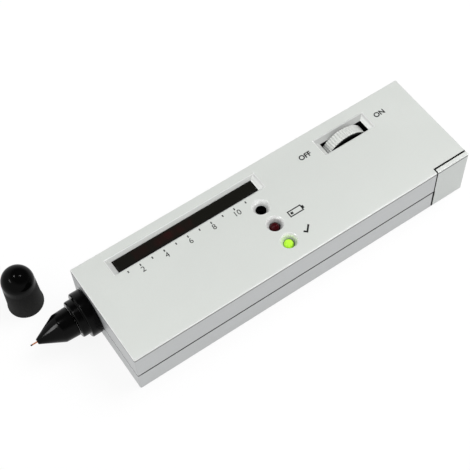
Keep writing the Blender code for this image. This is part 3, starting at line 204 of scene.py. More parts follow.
# Display window
BAR_COUNT = 12
BAR_MIDDLE_SHARE = 0.5
BAR_EDGE_SHARES = (0.16, 0.34)
BAR_GAP_GLOW_SHARE = 0.55
BAR_ROW_HALVES = (0.0010, 0.0024)
WINDOW_FLANGE = 0.0018
WINDOW_SPECULAR = 0.30
WINDOW_PATCH_GRAIN = 55.0
WINDOW_PATCH_RANGE = (0.50, 0.68)
WINDOW_COLOURS = ((0.0070, 0.0068, 0.0050), (0.026, 0.005, 0.005))
WINDOW_ROUGHNESS = (0.08, 0.18)
WINDOW_RELIEF = 0.000001

# Lamp lenses; each has a painted highlight, a lighter core a little off its middle, and painted
# shade, a darker rim; on the lit lens the core is also its glow
LENS_SPECULAR = 0.10
LENS_CORE_SHIFT = (-0.0006, -0.0001)
LENS_UNEVEN_SHARE = 0.10
LENS_FADE_SHARES = (0.72, 1.28)
LENS_ROUGHNESS = (0.10, 0.18)
READY_RIM = (0.010, 0.06, 0.006)
READY_CORE = (0.50, 0.95, 0.06)
READY_GLOW = 0.05
WARNING_RIM = (0.003, 0.0006, 0.0008)
WARNING_CORE = (0.042, 0.0018, 0.0035)

# Copper pin
COPPERS = ((0.42, 0.14, 0.06), (0.68, 0.26, 0.12))
PIN_DARK = (0.05, 0.03, 0.025)
PIN_DARK_LENGTH = 0.0008
PIN_DARK_SOFT = 0.0002
PIN_ROUGHNESS = (0.26, 0.38)

# Black plastic of the probe
PROBE_BLACKS = ((0.0014, 0.0014, 0.0014), (0.0018, 0.0018, 0.0018))
PROBE_SPECULAR = 0.08
CONE_ROUGHNESS = 0.08
NECK_ROUGHNESS = 0.15
CONE_FADE = 0.0004
HAZE_ROUGHNESS = 0.03
PLASTIC_RELIEF = 0.0000005

# The cap, whose gloss starts at a height above the floor and takes away roughness
CAP_SPECULAR = 0.05
CAP_GLOSS_Z = 0.0144
CAP_GLOSS_SOFT = 0.0022
CAP_GLOSS_WANDER = 0.0003
CAP_GLOSS_GAIN = -0.44
CAP_EDGE_GRAIN = 400.0
# painted reflection of the floor: the skirt's grey, darkest up by the dome and lightest at the
# bottom
CAP_SKIRT_REFLECTION_COLOURS = ((0.003, 0.003, 0.003), (0.030, 0.030, 0.029))
CAP_SKIRT_GRAIN_SHARE = 0.25
CAP_DOME_COLOUR = (0.0016, 0.0016, 0.0016)
CAP_SKIRT_ROUGHNESS = (0.50, 0.62)
CAP_RELIEF = 0.000002

# The battery's jacket, with places along it from the stud end
JACKET_COLOURS = ((0.034, 0.037, 0.044), (0.042, 0.045, 0.053))
JACKET_PALE = (0.50, 0.51, 0.51)
JACKET_BLACK = (0.012, 0.012, 0.012)
JACKET_PLATE = 0.0003
JACKET_BAND = (0.0016, 0.0105)
JACKET_SOFT = 0.0001
JACKET_METALLIC = 0.4
JACKET_ROUGHNESS = (0.24, 0.34)
JACKET_RELIEF = 0.000002


# Materials


def new_surface(name, metallic=0, specular=PLAIN_SPECULAR):
    """A node material with its tree and its main shader."""
    material = bpy.data.materials.new(name)
    material.use_nodes = True
    tree = material.node_tree
    shader = tree.nodes["Principled BSDF"]
    shader.inputs["Metallic"].default_value = metallic
    shader.inputs["Specular IOR Level"].default_value = specular
    return material, tree, shader


def feed(tree, socket, value):
    """Links a socket to the output that is its value, or sets it to a plain value."""
    if isinstance(value, bpy.types.NodeSocket):
        tree.links.new(value, socket)
    else:
        socket.default_value = value


def opaque(colour):
    return (*colour, 1)


def noise(tree, grain):
    """Noise over the piece's own place at rest."""
    place = tree.nodes.new("ShaderNodeTexCoord")
    texture = tree.nodes.new("ShaderNodeTexNoise")
    texture.inputs["Scale"].default_value = grain
    texture.inputs["Detail"].default_value = NOISE_DETAIL
    tree.links.new(place.outputs["Object"], texture.inputs["Vector"])
    return texture.outputs["Fac"]


def spread(tree, source, low, high, source_low=NOISE_LOW, source_high=NOISE_HIGH):
    """A value between low and high that follows a source."""
    mapping = tree.nodes.new("ShaderNodeMapRange")
    mapping.inputs["From Min"].default_value = source_low
    mapping.inputs["From Max"].default_value = source_high
    mapping.inputs["To Min"].default_value = low
    mapping.inputs["To Max"].default_value = high
    tree.links.new(source, mapping.inputs["Value"])
    return mapping.outputs["Result"]


def mixed_colour(tree, source, first, second):
    """A colour that goes from first to second as source goes from 0 to 1."""
    mix = tree.nodes.new("ShaderNodeMix")
    mix.data_type = "RGBA"
    for place, colour in ((FIRST_COLOUR, first), (SECOND_COLOUR, second)):
        value = opaque(colour) if isinstance(colour, tuple) else colour
        feed(tree, mix.inputs[place], value)
    tree.links.new(source, mix.inputs["Factor"])
    return mix.outputs[MIXED_COLOUR]


def mixed_shader(tree, share, first, second):
    """A shader that goes from first to second as share goes from 0 to 1."""
    mix = tree.nodes.new("ShaderNodeMixShader")
    feed(tree, mix.inputs["Fac"], share)
    tree.links.new(first, mix.inputs[FIRST_SHADER])
    tree.links.new(second, mix.inputs[SECOND_SHADER])
    return mix.outputs["Shader"]


def joined(tree, operation, first, second=0):
    """One or two values put through an arithmetic step; either may be a plain number."""
    step = tree.nodes.new("ShaderNodeMath")
    step.operation = operation
    for socket, value in zip(step.inputs, (first, second)):
        feed(tree, socket, value)
    return step.outputs["Value"]


def axis_place(tree, axis):
    """The piece's own place at rest along one axis, in metres."""
    place = tree.nodes.new("ShaderNodeTexCoord")
    parts = tree.nodes.new("ShaderNodeSeparateXYZ")
    tree.links.new(place.outputs["Object"], parts.inputs["Vector"])
    return parts.outputs[axis]


def away_from(tree, axis, middle):
    """How far the piece's own place at rest is from a middle along one axis."""
    return joined(tree, "ABSOLUTE", joined(tree, "SUBTRACT", axis_place(tree, axis), middle))


def axis_distance(tree, *middles):
    """The distance from a line along the third axis, where the other two have given values."""
    away = [joined(tree, "SUBTRACT", axis_place(tree, axis), value) for axis, value in middles]
    squares = [joined(tree, "MULTIPLY", value, value) for value in away]
    return joined(tree, "SQRT", joined(tree, "ADD", *squares))


def set_surface(tree, shader, tint, roughness, grain, relief):
    """Gives a shader its colour, its roughness and a relief that follows a grain."""
    bump = tree.nodes.new("ShaderNodeBump")
    bump.inputs["Distance"].default_value = relief
    tree.links.new(grain, bump.inputs["Height"])
    tree.links.new(tint, shader.inputs["Base Color"])
    tree.links.new(roughness, shader.inputs["Roughness"])
    tree.links.new(bump.outputs["Normal"], shader.inputs["Normal"])


def shaded(colour, share):
    return tuple(channel * share for channel in colour)


def grained(name, colour, roughness, relief, contrast_share, metallic=0,
            specular=PLAIN_SPECULAR):
    """A surface whose colour, gloss and relief all vary with a fine and a broad grain."""
    material, tree, shader = new_surface(name, metallic, specular)
    fine = noise(tree, MOULD_GRAIN)
    broad = noise(tree, MOTTLE_GRAIN)
    tint = mixed_colour(tree, spread(tree, fine, 0, 1),
                        shaded(colour, 1 - contrast_share), shaded(colour, 1 + contrast_share))
    gloss = spread(tree, broad, roughness * (1 - GLOSS_SHARE), roughness * (1 + GLOSS_SHARE))
    set_surface(tree, shader, tint, gloss, fine, relief)
    return material


def band(tree, source, low, high, soft):
    """1 where the source is between low and high, fading to 0 over soft on each side."""
    rise = spread(tree, source, 0, 1, low - soft, low)
    fall = spread(tree, source, 1, 0, high, high + soft)
    return joined(tree, "MULTIPLY", rise, fall)


def side_band(tree):
    """1 close to the case's outer sides, 0 further in."""
    sides = []
    for index, axis in enumerate("XY"):
        middle = (CASE_LOW[index] + CASE_HIGH[index]) / 2
        half = (CASE_HIGH[index] - CASE_LOW[index]) / 2
        away = away_from(tree, axis, middle)
        sides.append(spread(tree, away, 0, 1, half - EDGE_SPAN, half - EDGE_SPAN / 2))
    return joined(tree, "MAXIMUM", *sides)


def edge_wear(tree, tint, colour, line_share):
    """The tint with a painted highlight along the case's top edge and a thin painted shade line
    beneath it.
    """
    height = axis_place(tree, "Z")
    sides = side_band(tree)
    # painted highlight along the top edge
    lit_edge = band(tree, height, TOP_Z - EDGE_HIGHLIGHT_LOW, TOP_Z - EDGE_HIGHLIGHT_HIGH, EDGE_SOFT)
    highlighted = mixed_colour(tree, joined(tree, "MULTIPLY", lit_edge, sides), tint, EDGE_HIGHLIGHT_COLOUR)
    # painted shade: the thin dark line beneath the edge
    thin = band(tree, height, TOP_Z - EDGE_LINE_LOW, TOP_Z - EDGE_LINE_HIGH, EDGE_SOFT)
    line = joined(tree, "MULTIPLY", joined(tree, "MULTIPLY", thin, sides), line_share)
    return mixed_colour(tree, line, highlighted, shaded(colour, EDGE_LINE_SHARE))


def gap_shade(tree, tint, colour):
    """The tint, darkened beside the seam, the cover's gap below it and the gap on top."""
    along, height = axis_place(tree, "X"), axis_place(tree, "Z")
    seam = band(tree, height, SEAM_LOW - SEAM_SHADE, SEAM_HIGH + SEAM_SHADE, EDGE_SOFT)
    body = band(tree, along, CASE_LOW.x + END_LIP_DEPTH, COVER_GAP_LOW, EDGE_SOFT)
    gap = band(tree, along, COVER_GAP_LOW - COVER_GAP_SHADE, COVER_GAP_HIGH + COVER_GAP_SHADE,
               EDGE_SOFT)
    low_gap = joined(tree, "MULTIPLY", gap, spread(tree, height, 1, 0, SEAM_LOW, SEAM_HIGH))
    long_gap = joined(tree, "MULTIPLY", spread(tree, along, 0, 1, COVER_GAP_LOW, COVER_GAP_HIGH),
                      band(tree, axis_place(tree, "Y"), TOP_GAP_LOW - TOP_GAP_SHADE,
                           TOP_GAP_HIGH + TOP_GAP_SHADE, EDGE_SOFT))
    top_gap = joined(tree, "MULTIPLY", long_gap,
                     spread(tree, height, 0, 1, TOP_Z - EDGE_LINE_LOW, TOP_Z - EDGE_LINE_HIGH))
    shade = joined(tree, "MAXIMUM", joined(tree, "MULTIPLY", seam, body),
                   joined(tree, "MAXIMUM", low_gap, top_gap))
    return mixed_colour(tree, shade, tint, shaded(colour, GAP_SHADE_SHARE))


def recess_rim(tree, tint):
    """The tint with a painted highlight, a pale line along a recess's rim."""
    height = axis_place(tree, "Z")
    rim = spread(tree, height, 0, 1, TOP_Z - RECESS_RIM_DEPTH - EDGE_SOFT,
                 TOP_Z - RECESS_RIM_DEPTH)
    return mixed_colour(tree, rim, tint, RECESS_RIM_HIGHLIGHT)


def silver_paint(name, colour, roughness=PAINT_ROUGHNESS, metallic=PAINT_METALLIC,
                 relief=PAINT_RELIEF, line_share=0, rim=False, gaps=False):
    """Silver paint with metal flake, which may have a painted highlight and a painted shade line
    along its top edge, a painted highlight along a recess's rim or painted shade beside its
    gaps.
    """
    material, tree, shader = new_surface(name, metallic, PAINT_SPECULAR)
    flake = noise(tree, PAINT_GRAIN)
    mottle = noise(tree, MOTTLE_GRAIN)
    dull_share, bright_share = PAINT_TONE_SHARES
    tone = mixed_colour(tree, spread(tree, mottle, 0, 1),
                        shaded(colour, dull_share), shaded(colour, bright_share))
    tint = mixed_colour(tree, spread(tree, flake, 0, 1), shaded(colour, FLAKE_SHARE), tone)
    # painted highlight along the top edge, with a painted shade line beneath it
    if line_share:
        tint = edge_wear(tree, tint, colour, line_share)
    # painted highlight along the recess's rim
    if rim:
        tint = recess_rim(tree, tint)
    if gaps:
        tint = gap_shade(tree, tint, colour)
    set_surface(tree, shader, tint, spread(tree, flake, *roughness), flake, relief)
    return material


def wheel_paint(name):
    """Silver paint on the rim; the sides and the web are painted black, as painted shade for the
    shadow inside the slot.
    """
    material, tree, shader = new_surface(name, PAINT_METALLIC, PAINT_SPECULAR)
    flake = noise(tree, PAINT_GRAIN)
    silver = mixed_colour(tree, spread(tree, flake, 0, 1),
                          shaded(WHEEL_SILVER, FLAKE_SHARE), WHEEL_SILVER)
    away = away_from(tree, "Y", WHEEL_CENTRE.y)
    half = (WHEEL_HIGH.y - WHEEL_LOW.y) / 2 + WHEEL_SPARE
    side = spread(tree, away, 0, 1, half - WHEEL_CHAMFER, half - WHEEL_CHAMFER / 2)
    # painted shade: the web inside the rim is black too
    reach = axis_distance(tree, ("X", WHEEL_CENTRE.x), ("Z", WHEEL_CENTRE.z))
    inside = spread(tree, reach, 1, 0, WHEEL_RADIUS - WHEEL_RIM, WHEEL_RADIUS - WHEEL_RIM / 2)
    tint = mixed_colour(tree, joined(tree, "MAXIMUM", side, inside), silver, WHEEL_SHADE_BLACK)
    set_surface(tree, shader, tint, spread(tree, flake, *PAINT_ROUGHNESS), flake, PAINT_RELIEF)
    return material


def copper_pin(name):
    """Bare copper, darkened at the pin's point."""
    material, tree, shader = new_surface(name, metallic=1)
    grain = noise(tree, MOULD_GRAIN)
    copper = mixed_colour(tree, spread(tree, grain, 0, 1), *COPPERS)
    along = joined(tree, "ADD", axis_place(tree, "X"),
                   spread(tree, grain, -PIN_DARK_SOFT, PIN_DARK_SOFT))
    point = spread(tree, along, 1, 0, TIP_LOW.x + PIN_DARK_LENGTH - PIN_DARK_SOFT,
                   TIP_LOW.x + PIN_DARK_LENGTH)
    tint = mixed_colour(tree, point, copper, PIN_DARK)
    set_surface(tree, shader, tint, spread(tree, grain, *PIN_ROUGHNESS), grain, PLASTIC_RELIEF)
    return material


def probe_black(name):
    """Moulded black plastic, glossy on the probe's cone and duller behind it."""
    material, tree, shader = new_surface(name, specular=PROBE_SPECULAR)
    grain = noise(tree, MOULD_GRAIN)
    tint = mixed_colour(tree, spread(tree, grain, 0, 1), *PROBE_BLACKS)
    cone_back = CASE_END_X - NOSE_FRONT
    rough = spread(tree, axis_place(tree, "X"), CONE_ROUGHNESS, NECK_ROUGHNESS,
                   cone_back - CONE_FADE, cone_back)
    haze = spread(tree, grain, 0, HAZE_ROUGHNESS)
    set_surface(tree, shader, tint, joined(tree, "ADD", rough, haze), grain, PLASTIC_RELIEF)
    return material


def smoked_acrylic(name):
    """Dark glossy strip with the unlit lamps behind it just showing as dull red patches."""
    material, tree, shader = new_surface(name, specular=WINDOW_SPECULAR)
    low, high = WINDOW_LOW, WINDOW_HIGH
    start = low.x + WINDOW_FLANGE
    pitch = (high.x - low.x - 2 * WINDOW_FLANGE) / BAR_COUNT
    along = joined(tree, "SUBTRACT", axis_place(tree, "X"), start)
    place = joined(tree, "FRACT", joined(tree, "DIVIDE", along, pitch))
    offset = joined(tree, "ABSOLUTE", joined(tree, "SUBTRACT", place, BAR_MIDDLE_SHARE))
    lamp = spread(tree, offset, 1, BAR_GAP_GLOW_SHARE, *BAR_EDGE_SHARES)
    row = spread(tree, away_from(tree, "Y", (low.y + high.y) / 2), 1, 0, *BAR_ROW_HALVES)
    wander = spread(tree, noise(tree, WINDOW_PATCH_GRAIN), 0, 1, *WINDOW_PATCH_RANGE)
    glow = joined(tree, "MULTIPLY", joined(tree, "MULTIPLY", lamp, row), wander)
    tint = mixed_colour(tree, glow, *WINDOW_COLOURS)
    haze = noise(tree, MOULD_GRAIN)
    set_surface(tree, shader, tint, spread(tree, haze, *WINDOW_ROUGHNESS), haze, WINDOW_RELIEF)
    return material


def lens(name, centre, rim, core, glow=0):
    """A coloured lamp lens with a painted highlight a little off its middle and painted shade at
    its rim, which glows if it is lit.
    """
    material, tree, shader = new_surface(name, specular=LENS_SPECULAR)
    shift_x, shift_y = LENS_CORE_SHIFT
    span = axis_distance(tree, ("X", centre.x + shift_x), ("Y", centre.y + shift_y))
    haze = noise(tree, MOULD_GRAIN)
    streak = joined(tree, "MULTIPLY", spread(tree, haze, -1, 1), LENS_RADIUS * LENS_UNEVEN_SHARE)
    # painted highlight towards the core, painted shade towards the rim
    core_share, rim_share = LENS_FADE_SHARES
    share = spread(tree, joined(tree, "ADD", span, streak), 1, 0,
                   LENS_RADIUS * core_share, LENS_RADIUS * rim_share)
    tint = mixed_colour(tree, share, rim, core)
    if glow:
        tree.links.new(tint, shader.inputs["Emission Color"])
        shader.inputs["Emission Strength"].default_value = glow
    set_surface(tree, shader, tint, spread(tree, haze, *LENS_ROUGHNESS), haze, PLASTIC_RELIEF)
    return material


def cap_vinyl(name):
    """Dipped black vinyl: a glossy dome over a duller skirt, whose grey, lighter towards the
    bottom, is a painted reflection of the floor.
    """
    material, tree, shader = new_surface(name, specular=CAP_SPECULAR)
    grain = noise(tree, MOULD_GRAIN)
    edge = joined(tree, "ADD", axis_place(tree, "Z"),
                  joined(tree, "MULTIPLY", noise(tree, CAP_EDGE_GRAIN), CAP_GLOSS_WANDER))
    gloss = spread(tree, edge, 0, 1, CAP_GLOSS_Z - CAP_GLOSS_SOFT, CAP_GLOSS_Z)
    # painted reflection of the floor, greyer towards the bottom
    drop = spread(tree, axis_place(tree, "Z"), 1, 0, CAP_LOW.z, CAP_GLOSS_Z)
    painted_floor_reflection = joined(tree, "ADD", drop,
                  spread(tree, grain, -CAP_SKIRT_GRAIN_SHARE, CAP_SKIRT_GRAIN_SHARE))
    skirt = mixed_colour(tree, painted_floor_reflection, *CAP_SKIRT_REFLECTION_COLOURS)
    tint = mixed_colour(tree, gloss, skirt, CAP_DOME_COLOUR)
    dull = spread(tree, grain, *CAP_SKIRT_ROUGHNESS)
    rough = joined(tree, "ADD", joined(tree, "MULTIPLY", gloss, CAP_GLOSS_GAIN), dull)
    set_surface(tree, shader, tint, rough, grain, CAP_RELIEF)
    return material


def battery_jacket(name):
    """Lacquered steel with a pale band near the studs and a black plate between them."""
    material, tree, shader = new_surface(name, metallic=JACKET_METALLIC)
    grain = noise(tree, MOULD_GRAIN)
    along = joined(tree, "SUBTRACT", axis_place(tree, "X"), BATTERY_LOW.x)
    lacquer = mixed_colour(tree, spread(tree, grain, 0, 1), *JACKET_COLOURS)
    pale = band(tree, along, *JACKET_BAND, JACKET_SOFT)
    plate = spread(tree, along, 1, 0, JACKET_PLATE, JACKET_PLATE + JACKET_SOFT)
    tint = mixed_colour(tree, plate, mixed_colour(tree, pale, lacquer, JACKET_PALE),
                        JACKET_BLACK)
    set_surface(tree, shader, tint, spread(tree, grain, *JACKET_ROUGHNESS), grain,
                JACKET_RELIEF)
    return material


# Silver finishes, by name
SILVERS = {
    "case": {"colour": SILVER, "line_share": CASE_LINE_SHARE, "gaps": True},
    "side": {"colour": SIDE_SHADED_SILVER, "line_share": CASE_LINE_SHARE, "gaps": True},
    "cover": {"colour": COVER_LIT_SILVER, "line_share": COVER_LINE_SHARE, "gaps": True},
    "cover_side": {"colour": COVER_SIDE_SHADED_SILVER, "line_share": CASE_LINE_SHARE, "gaps": True},
    "recess": {"colour": RECESS_LIT_SILVER, "roughness": RECESS_ROUGHNESS,
               "metallic": RECESS_METALLIC, "relief": RECESS_RELIEF, "rim": True},
    "dish": {"colour": DISH_LIT_SILVER, "roughness": DISH_ROUGHNESS,
             "metallic": DISH_METALLIC, "relief": RECESS_RELIEF},
}

# Plain finishes, by name
FINISHES = {
    # black plastic inside the case, which in the gaps, the slot and the holes also stands in as
    # painted shade
    "inside": {"colour": (0.010, 0.010, 0.010), "roughness": 0.6, "relief": 0.000005,
               "specular": 0.2, "contrast_share": 0.15},
    # the buzzer, blacker than the chips as painted shade in the sound hole
    "buzzer": {"colour": (0.001, 0.001, 0.001), "roughness": 0.6, "relief": 0.000004,
               "specular": 0.05, "contrast_share": 0.2},
    "print": {"colour": (0.008, 0.008, 0.008), "roughness": 0.5, "relief": 0.000002,
              "specular": 0.3, "contrast_share": 0.2},
    "brass": {"colour": (0.70, 0.50, 0.22), "roughness": 0.30, "relief": 0.000002,
              "metallic": 1.0, "contrast_share": 0.1},
    "steel": {"colour": (0.58, 0.58, 0.57), "roughness": 0.32, "relief": 0.000003,
              "metallic": 1.0, "contrast_share": 0.1},
    "board": {"colour": (0.020, 0.115, 0.045), "roughness": 0.42, "relief": 0.000008,
              "contrast_share": 0.25},
    "chip": {"colour": (0.018, 0.018, 0.019), "roughness": 0.55, "relief": 0.000006,
             "contrast_share": 0.2},
    "sleeve": {"colour": (0.020, 0.026, 0.050), "roughness": 0.35, "relief": 0.000003,
               "contrast_share": 0.1},
    "red_lead": {"colour": (0.42, 0.014, 0.012), "roughness": 0.45, "relief": 0.000004,
                 "contrast_share": 0.12},
    "black_lead": {"colour": (0.014, 0.014, 0.014), "roughness": 0.45, "relief": 0.000004,
                   "contrast_share": 0.15},
    "bar_red": {"colour": (0.20, 0.010, 0.008), "roughness": 0.25, "relief": 0.000003,
                "contrast_share": 0.15},
}


def make_materials():
    """Every material but the lenses', by the name of its finish."""
    made = {name: grained(name, **finish) for name, finish in FINISHES.items()}
    for name, paint in SILVERS.items():
        made[name] = silver_paint(name + "_silver", **paint)
    made["wheel"] = wheel_paint("wheel_silver")
    made["black"] = probe_black("probe_black")
    made["copper"] = copper_pin("tip_copper")
    made["vinyl"] = cap_vinyl("cap_black")
    made["window"] = smoked_acrylic("smoked_acrylic")
    made["jacket"] = battery_jacket("battery_jacket")
    return made


# Forms


def set_shading(mesh):
    mesh.shade_smooth()
    mesh.set_sharp_from_angle(angle=SHARP_ANGLE)


def coat(mesh, materials_used):
    mesh.materials.clear()
    for material in materials_used:
        mesh.materials.append(material)


def put_in_scene(name, data):
    thing = bpy.data.objects.new(name, data)
    bpy.context.scene.collection.objects.link(thing)
    return thing


def add_piece(name, mesh, materials_used, body, *nodes):
    """A piece that rides a body and stands for the given nodes; a bare mesh is coated."""
    if not mesh.materials:
        coat(mesh, materials_used)
    piece = put_in_scene(name, mesh)
    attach(piece, body)
    if nodes:
        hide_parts(*nodes)
    return piece


def settled(draft):
    """The mesh that a draft shows with its modifiers; the draft is taken away."""
    bpy.context.view_layer.update()
    shown = draft.evaluated_get(bpy.context.evaluated_depsgraph_get())
    mesh = bpy.data.meshes.new_from_object(shown)
    bpy.data.objects.remove(draft, do_unlink=True)
    return mesh


def filleted(corners):
    """Points of a profile through corners (radius, height, fillet), with arcs for fillets."""
    points = []
    for index, (radius, height, fillet) in enumerate(corners):
        here = Vector((radius, height))
        if not fillet:
            points.append(here)
            continue
        back = Vector(corners[index - 1][:2]) - here
        ahead = Vector(corners[index + 1][:2]) - here
        half_angle = back.angle(ahead) / 2
        back.normalize()
        ahead.normalize()
        centre = here + (back + ahead).normalized() * (fillet / math.sin(half_angle))
        first = (here + back * (fillet / math.tan(half_angle)) - centre).normalized()
        last = (here + ahead * (fillet / math.tan(half_angle)) - centre).normalized()
        for step in range(FILLET_STEPS + 1):
            points.append(centre + first.slerp(last, step / FILLET_STEPS) * fillet)
    return points


def domed(radius, base, rise, steps):
    """Points of a profile from the top of a dome down to its rim."""
    turns = [math.pi / 2 * step / steps for step in range(steps + 1)]
    return [(radius * math.sin(turn), base + rise * math.cos(turn)) for turn in turns]


def ring_mesh(name, rings, closed=True):
    """A skin over rings of points that all have as many points; closed joins last to first."""
    mesh = bpy.data.meshes.new(name)
    count = len(rings[0])
    points = [point for ring in rings for point in ring]
    faces = []
    last = len(rings) if closed else len(rings) - 1
    for ring in range(last):
        here = ring * count
        beyond = (ring + 1) % len(rings) * count
        for index in range(count):
            after = (index + 1) % count
            faces.append((here + index, here + after, beyond + after, beyond + index))
    mesh.from_pydata(points, [], faces)
    form = bmesh.new()
    form.from_mesh(mesh)
    bmesh.ops.remove_doubles(form, verts=form.verts, dist=MERGE)
    bmesh.ops.recalc_face_normals(form, faces=form.faces)
    form.to_mesh(mesh)
    form.free()
    set_shading(mesh)
    return mesh


def turned(name, profile, origin, axis, closed=True):
    """A solid turned about an axis through origin; the profile is (radius, height) points."""
    turn = Vector((0, 0, 1)).rotation_difference(Vector(axis)).to_matrix()
    rings = []
    for radius, height in profile:
        ring = []
        for step in range(TURNED_STEPS):
            angle = math.tau * step / TURNED_STEPS
            place = Vector((radius * math.cos(angle), radius * math.sin(angle), height))
            ring.append(Vector(origin) + turn @ place)
        rings.append(ring)
    return ring_mesh(name, rings, closed)


# Case and window

DISH_NODES = ("ready_led", "low_battery_led", "buzzer")
DISH_REACH = 0.0032
DISH_PROFILE = ((0, 0.00320), (0.0010, 0.00256), (0.0023, 0.00195))


def is_in_dish(place):
    return any((place - middle_of(node)).xy.length < DISH_REACH for node in DISH_NODES)


def paint_slot(face):
    """The finish that a face of the case or its cover takes, by its place and its lean."""
    centre, normal = face.calc_center_median(), face.normal
    low, high = CASE_LOW, CASE_HIGH
    # the outer sides take the side silvers, darker and bluer as painted shade
    for axis, slot in enumerate((SIDE, SIDE, OUTER)):
        if centre[axis] < low[axis] + SKIN and normal[axis] < -SKIN_LEAN:
            return slot
        if centre[axis] > high[axis] - SKIN and normal[axis] > SKIN_LEAN:
            return slot
    if centre.x < low.x + END_LIP_DEPTH and normal.x < -SKIN_LEAN:
        return SIDE
    if centre.z < high.z - RECESS_DEPTH or normal.z < RECESS_LEAN:
        return INSIDE
    # the dishes and the other recesses take lighter silvers, as painted light
    return DISH if is_in_dish(centre) else RECESS


def dish_radius(depth):
    """The radius of a lamp's dish at a depth below the top face."""
    for (high, wide), (low, narrow) in zip(DISH_PROFILE, DISH_PROFILE[1:]):
        if depth <= low:
            return wide + (narrow - wide) * (depth - high) / (low - high)
    return DISH_PROFILE[-1][1]


def flare_dishes(form):
    """Gives the dishes round the lamps and the sound hole their flared profile."""
    deepest = DISH_PROFILE[-1][0]
    for node in DISH_NODES:
        centre = middle_of(node)
        for vertex in form.verts:
            away = (vertex.co - centre).xy
            depth = max(TOP_Z - vertex.co.z, 0)
            if away.length < DISH_REACH and depth < deepest:
                flat = away.normalized() * dish_radius(depth)
                vertex.co.xy = centre.xy + flat


def keep_within(mesh, node):
    """Moves points that the rounding put outside the node's box back onto it."""
    low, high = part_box(node)
    for vertex in mesh.vertices:
        vertex.co = [min(max(value, least), most)
                     for value, least, most in zip(vertex.co, low, high)]


def softened(name, mesh, width):
    """The mesh with its sharp edges rounded off."""
    set_shading(mesh)
    draft = put_in_scene(name + "_draft", mesh)
    bevel = draft.modifiers.new("Soft edges", "BEVEL")
    bevel.width = width
    bevel.segments = BEVEL_STEPS
    bevel.limit_method = "ANGLE"
    bevel.angle_limit = BEVEL_ANGLE
    bevel.use_clamp_overlap = True
    bevel.miter_outer = "MITER_ARC"
    even = draft.modifiers.new("Even shading", "WEIGHTED_NORMAL")
    even.keep_sharp = True
    return settled(draft)


def finer(node, name, materials_used, body, width):
    """The frame's own form with soft edges, each of its faces in the finish it takes."""
    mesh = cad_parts[node].data.copy()
    form = bmesh.new()
    form.from_mesh(mesh)
    bmesh.ops.remove_doubles(form, verts=form.verts, dist=MERGE)
    bmesh.ops.dissolve_limit(form, angle_limit=FLAT_ANGLE, verts=form.verts, edges=form.edges)
    if node == "top_shell":
        flare_dishes(form)
    for face in form.faces:
        face.material_index = paint_slot(face) if len(materials_used) > 1 else OUTER
    coat(mesh, materials_used)
    form.to_mesh(mesh)
    form.free()
    rounded = softened(name, mesh, width)
    keep_within(rounded, node)
    add_piece(name, rounded, materials_used, body, node)


def make_case():
    case = [materials[name] for name in ("case", "inside", "recess", "dish", "side")]
    cover = [materials[name] for name in ("cover", "inside", "recess", "dish", "cover_side")]
    finer("top_shell", "top_case", case, "case", CASE_EDGE)
    finer("bottom_shell", "bottom_case", case, "case", CASE_EDGE)
    finer("battery_cover", "end_cap", cover, "end_cover", CASE_EDGE)
    finer("display_window", "window_strip", [materials["window"]], "case", FINE_EDGE)


# Probe, along -X from the case's end wall

DISC_RADIUS = 0.0083
DISC_FRONT = 0.0043
STEP_RADIUS = 0.00676
STEP_FRONT = 0.0070
EDGE_ROUND = 0.0006
BACK_ROUND = 0.0003
HOLE_RADIUS = 0.0060
NOSE_RADIUS = 0.00542
NOSE_FRONT_RADIUS = 0.0052
NOSE_FRONT = 0.0125
NOSE_ROUND = 0.0018
NOSE_END_RADIUS = 0.00095
NOSE_END_ROUND = 0.00025
NOSE_LENGTH = 0.0209
PIN_RADIUS = 0.00025
PIN_ROUND = 0.0002
BORE_RADIUS = 0.00050
SEAT_GAP = 0.0003
INNER_RADIUS = 0.0030
COLLAR_DEPTH = 0.0012
FORWARDS = (-1, 0, 0)


def add_turned(name, corners, back_x, material, body, node):
    """A piece turned about the probe's axis; its heights count forwards from back_x."""
    origin = (back_x, PROBE_CENTRE.y, PROBE_CENTRE.z)
    mesh = turned(name, filleted(corners), origin, FORWARDS)
    add_piece(name, mesh, [material], body, node)


def make_collar():
    """Two discs against the case's end wall, the front one narrower."""
    add_turned("collar", [
        (INNER_RADIUS, STEP_FRONT, 0),
        (STEP_RADIUS, STEP_FRONT, EDGE_ROUND),
        (STEP_RADIUS, DISC_FRONT, BACK_ROUND),
        (DISC_RADIUS, DISC_FRONT, EDGE_ROUND),
        (DISC_RADIUS, SEAT_GAP, BACK_ROUND),
        (HOLE_RADIUS, SEAT_GAP, 0),
        (HOLE_RADIUS, -COLLAR_DEPTH, 0),
        (INNER_RADIUS, -COLLAR_DEPTH, 0),
    ], CASE_END_X, materials["black"], "case", "probe_collar")


def make_cone():
    """The neck and the cone in front of it, bored for the pin."""
    add_turned("cone", [
        (BORE_RADIUS, NOSE_LENGTH, 0),
        (NOSE_END_RADIUS, NOSE_LENGTH, NOSE_END_ROUND),
        (NOSE_FRONT_RADIUS, NOSE_FRONT, NOSE_ROUND),
        (NOSE_RADIUS, STEP_FRONT + SEAT_GAP, BACK_ROUND),
        (BORE_RADIUS, STEP_FRONT + SEAT_GAP, 0),
    ], CASE_END_X, materials["black"], "case", "probe_nose")


def make_pin():
    length = TIP_HIGH.x - TIP_LOW.x
    add_turned("copper_tip", [
        (0, length, 0),
        (PIN_RADIUS, length, PIN_ROUND),
        (PIN_RADIUS, 0, 0),
        (0, 0, 0),
    ], TIP_HIGH.x, materials["copper"], "sprung_tip", "probe_tip")


def make_spring():
    """The spring behind the pin."""
    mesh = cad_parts["tip_spring"].data.copy()
    mesh.materials.clear()
    set_shading(mesh)
    spring = add_piece("spring", mesh, [materials["steel"]], "case", "tip_spring")
    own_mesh(spring)


# Loose cap

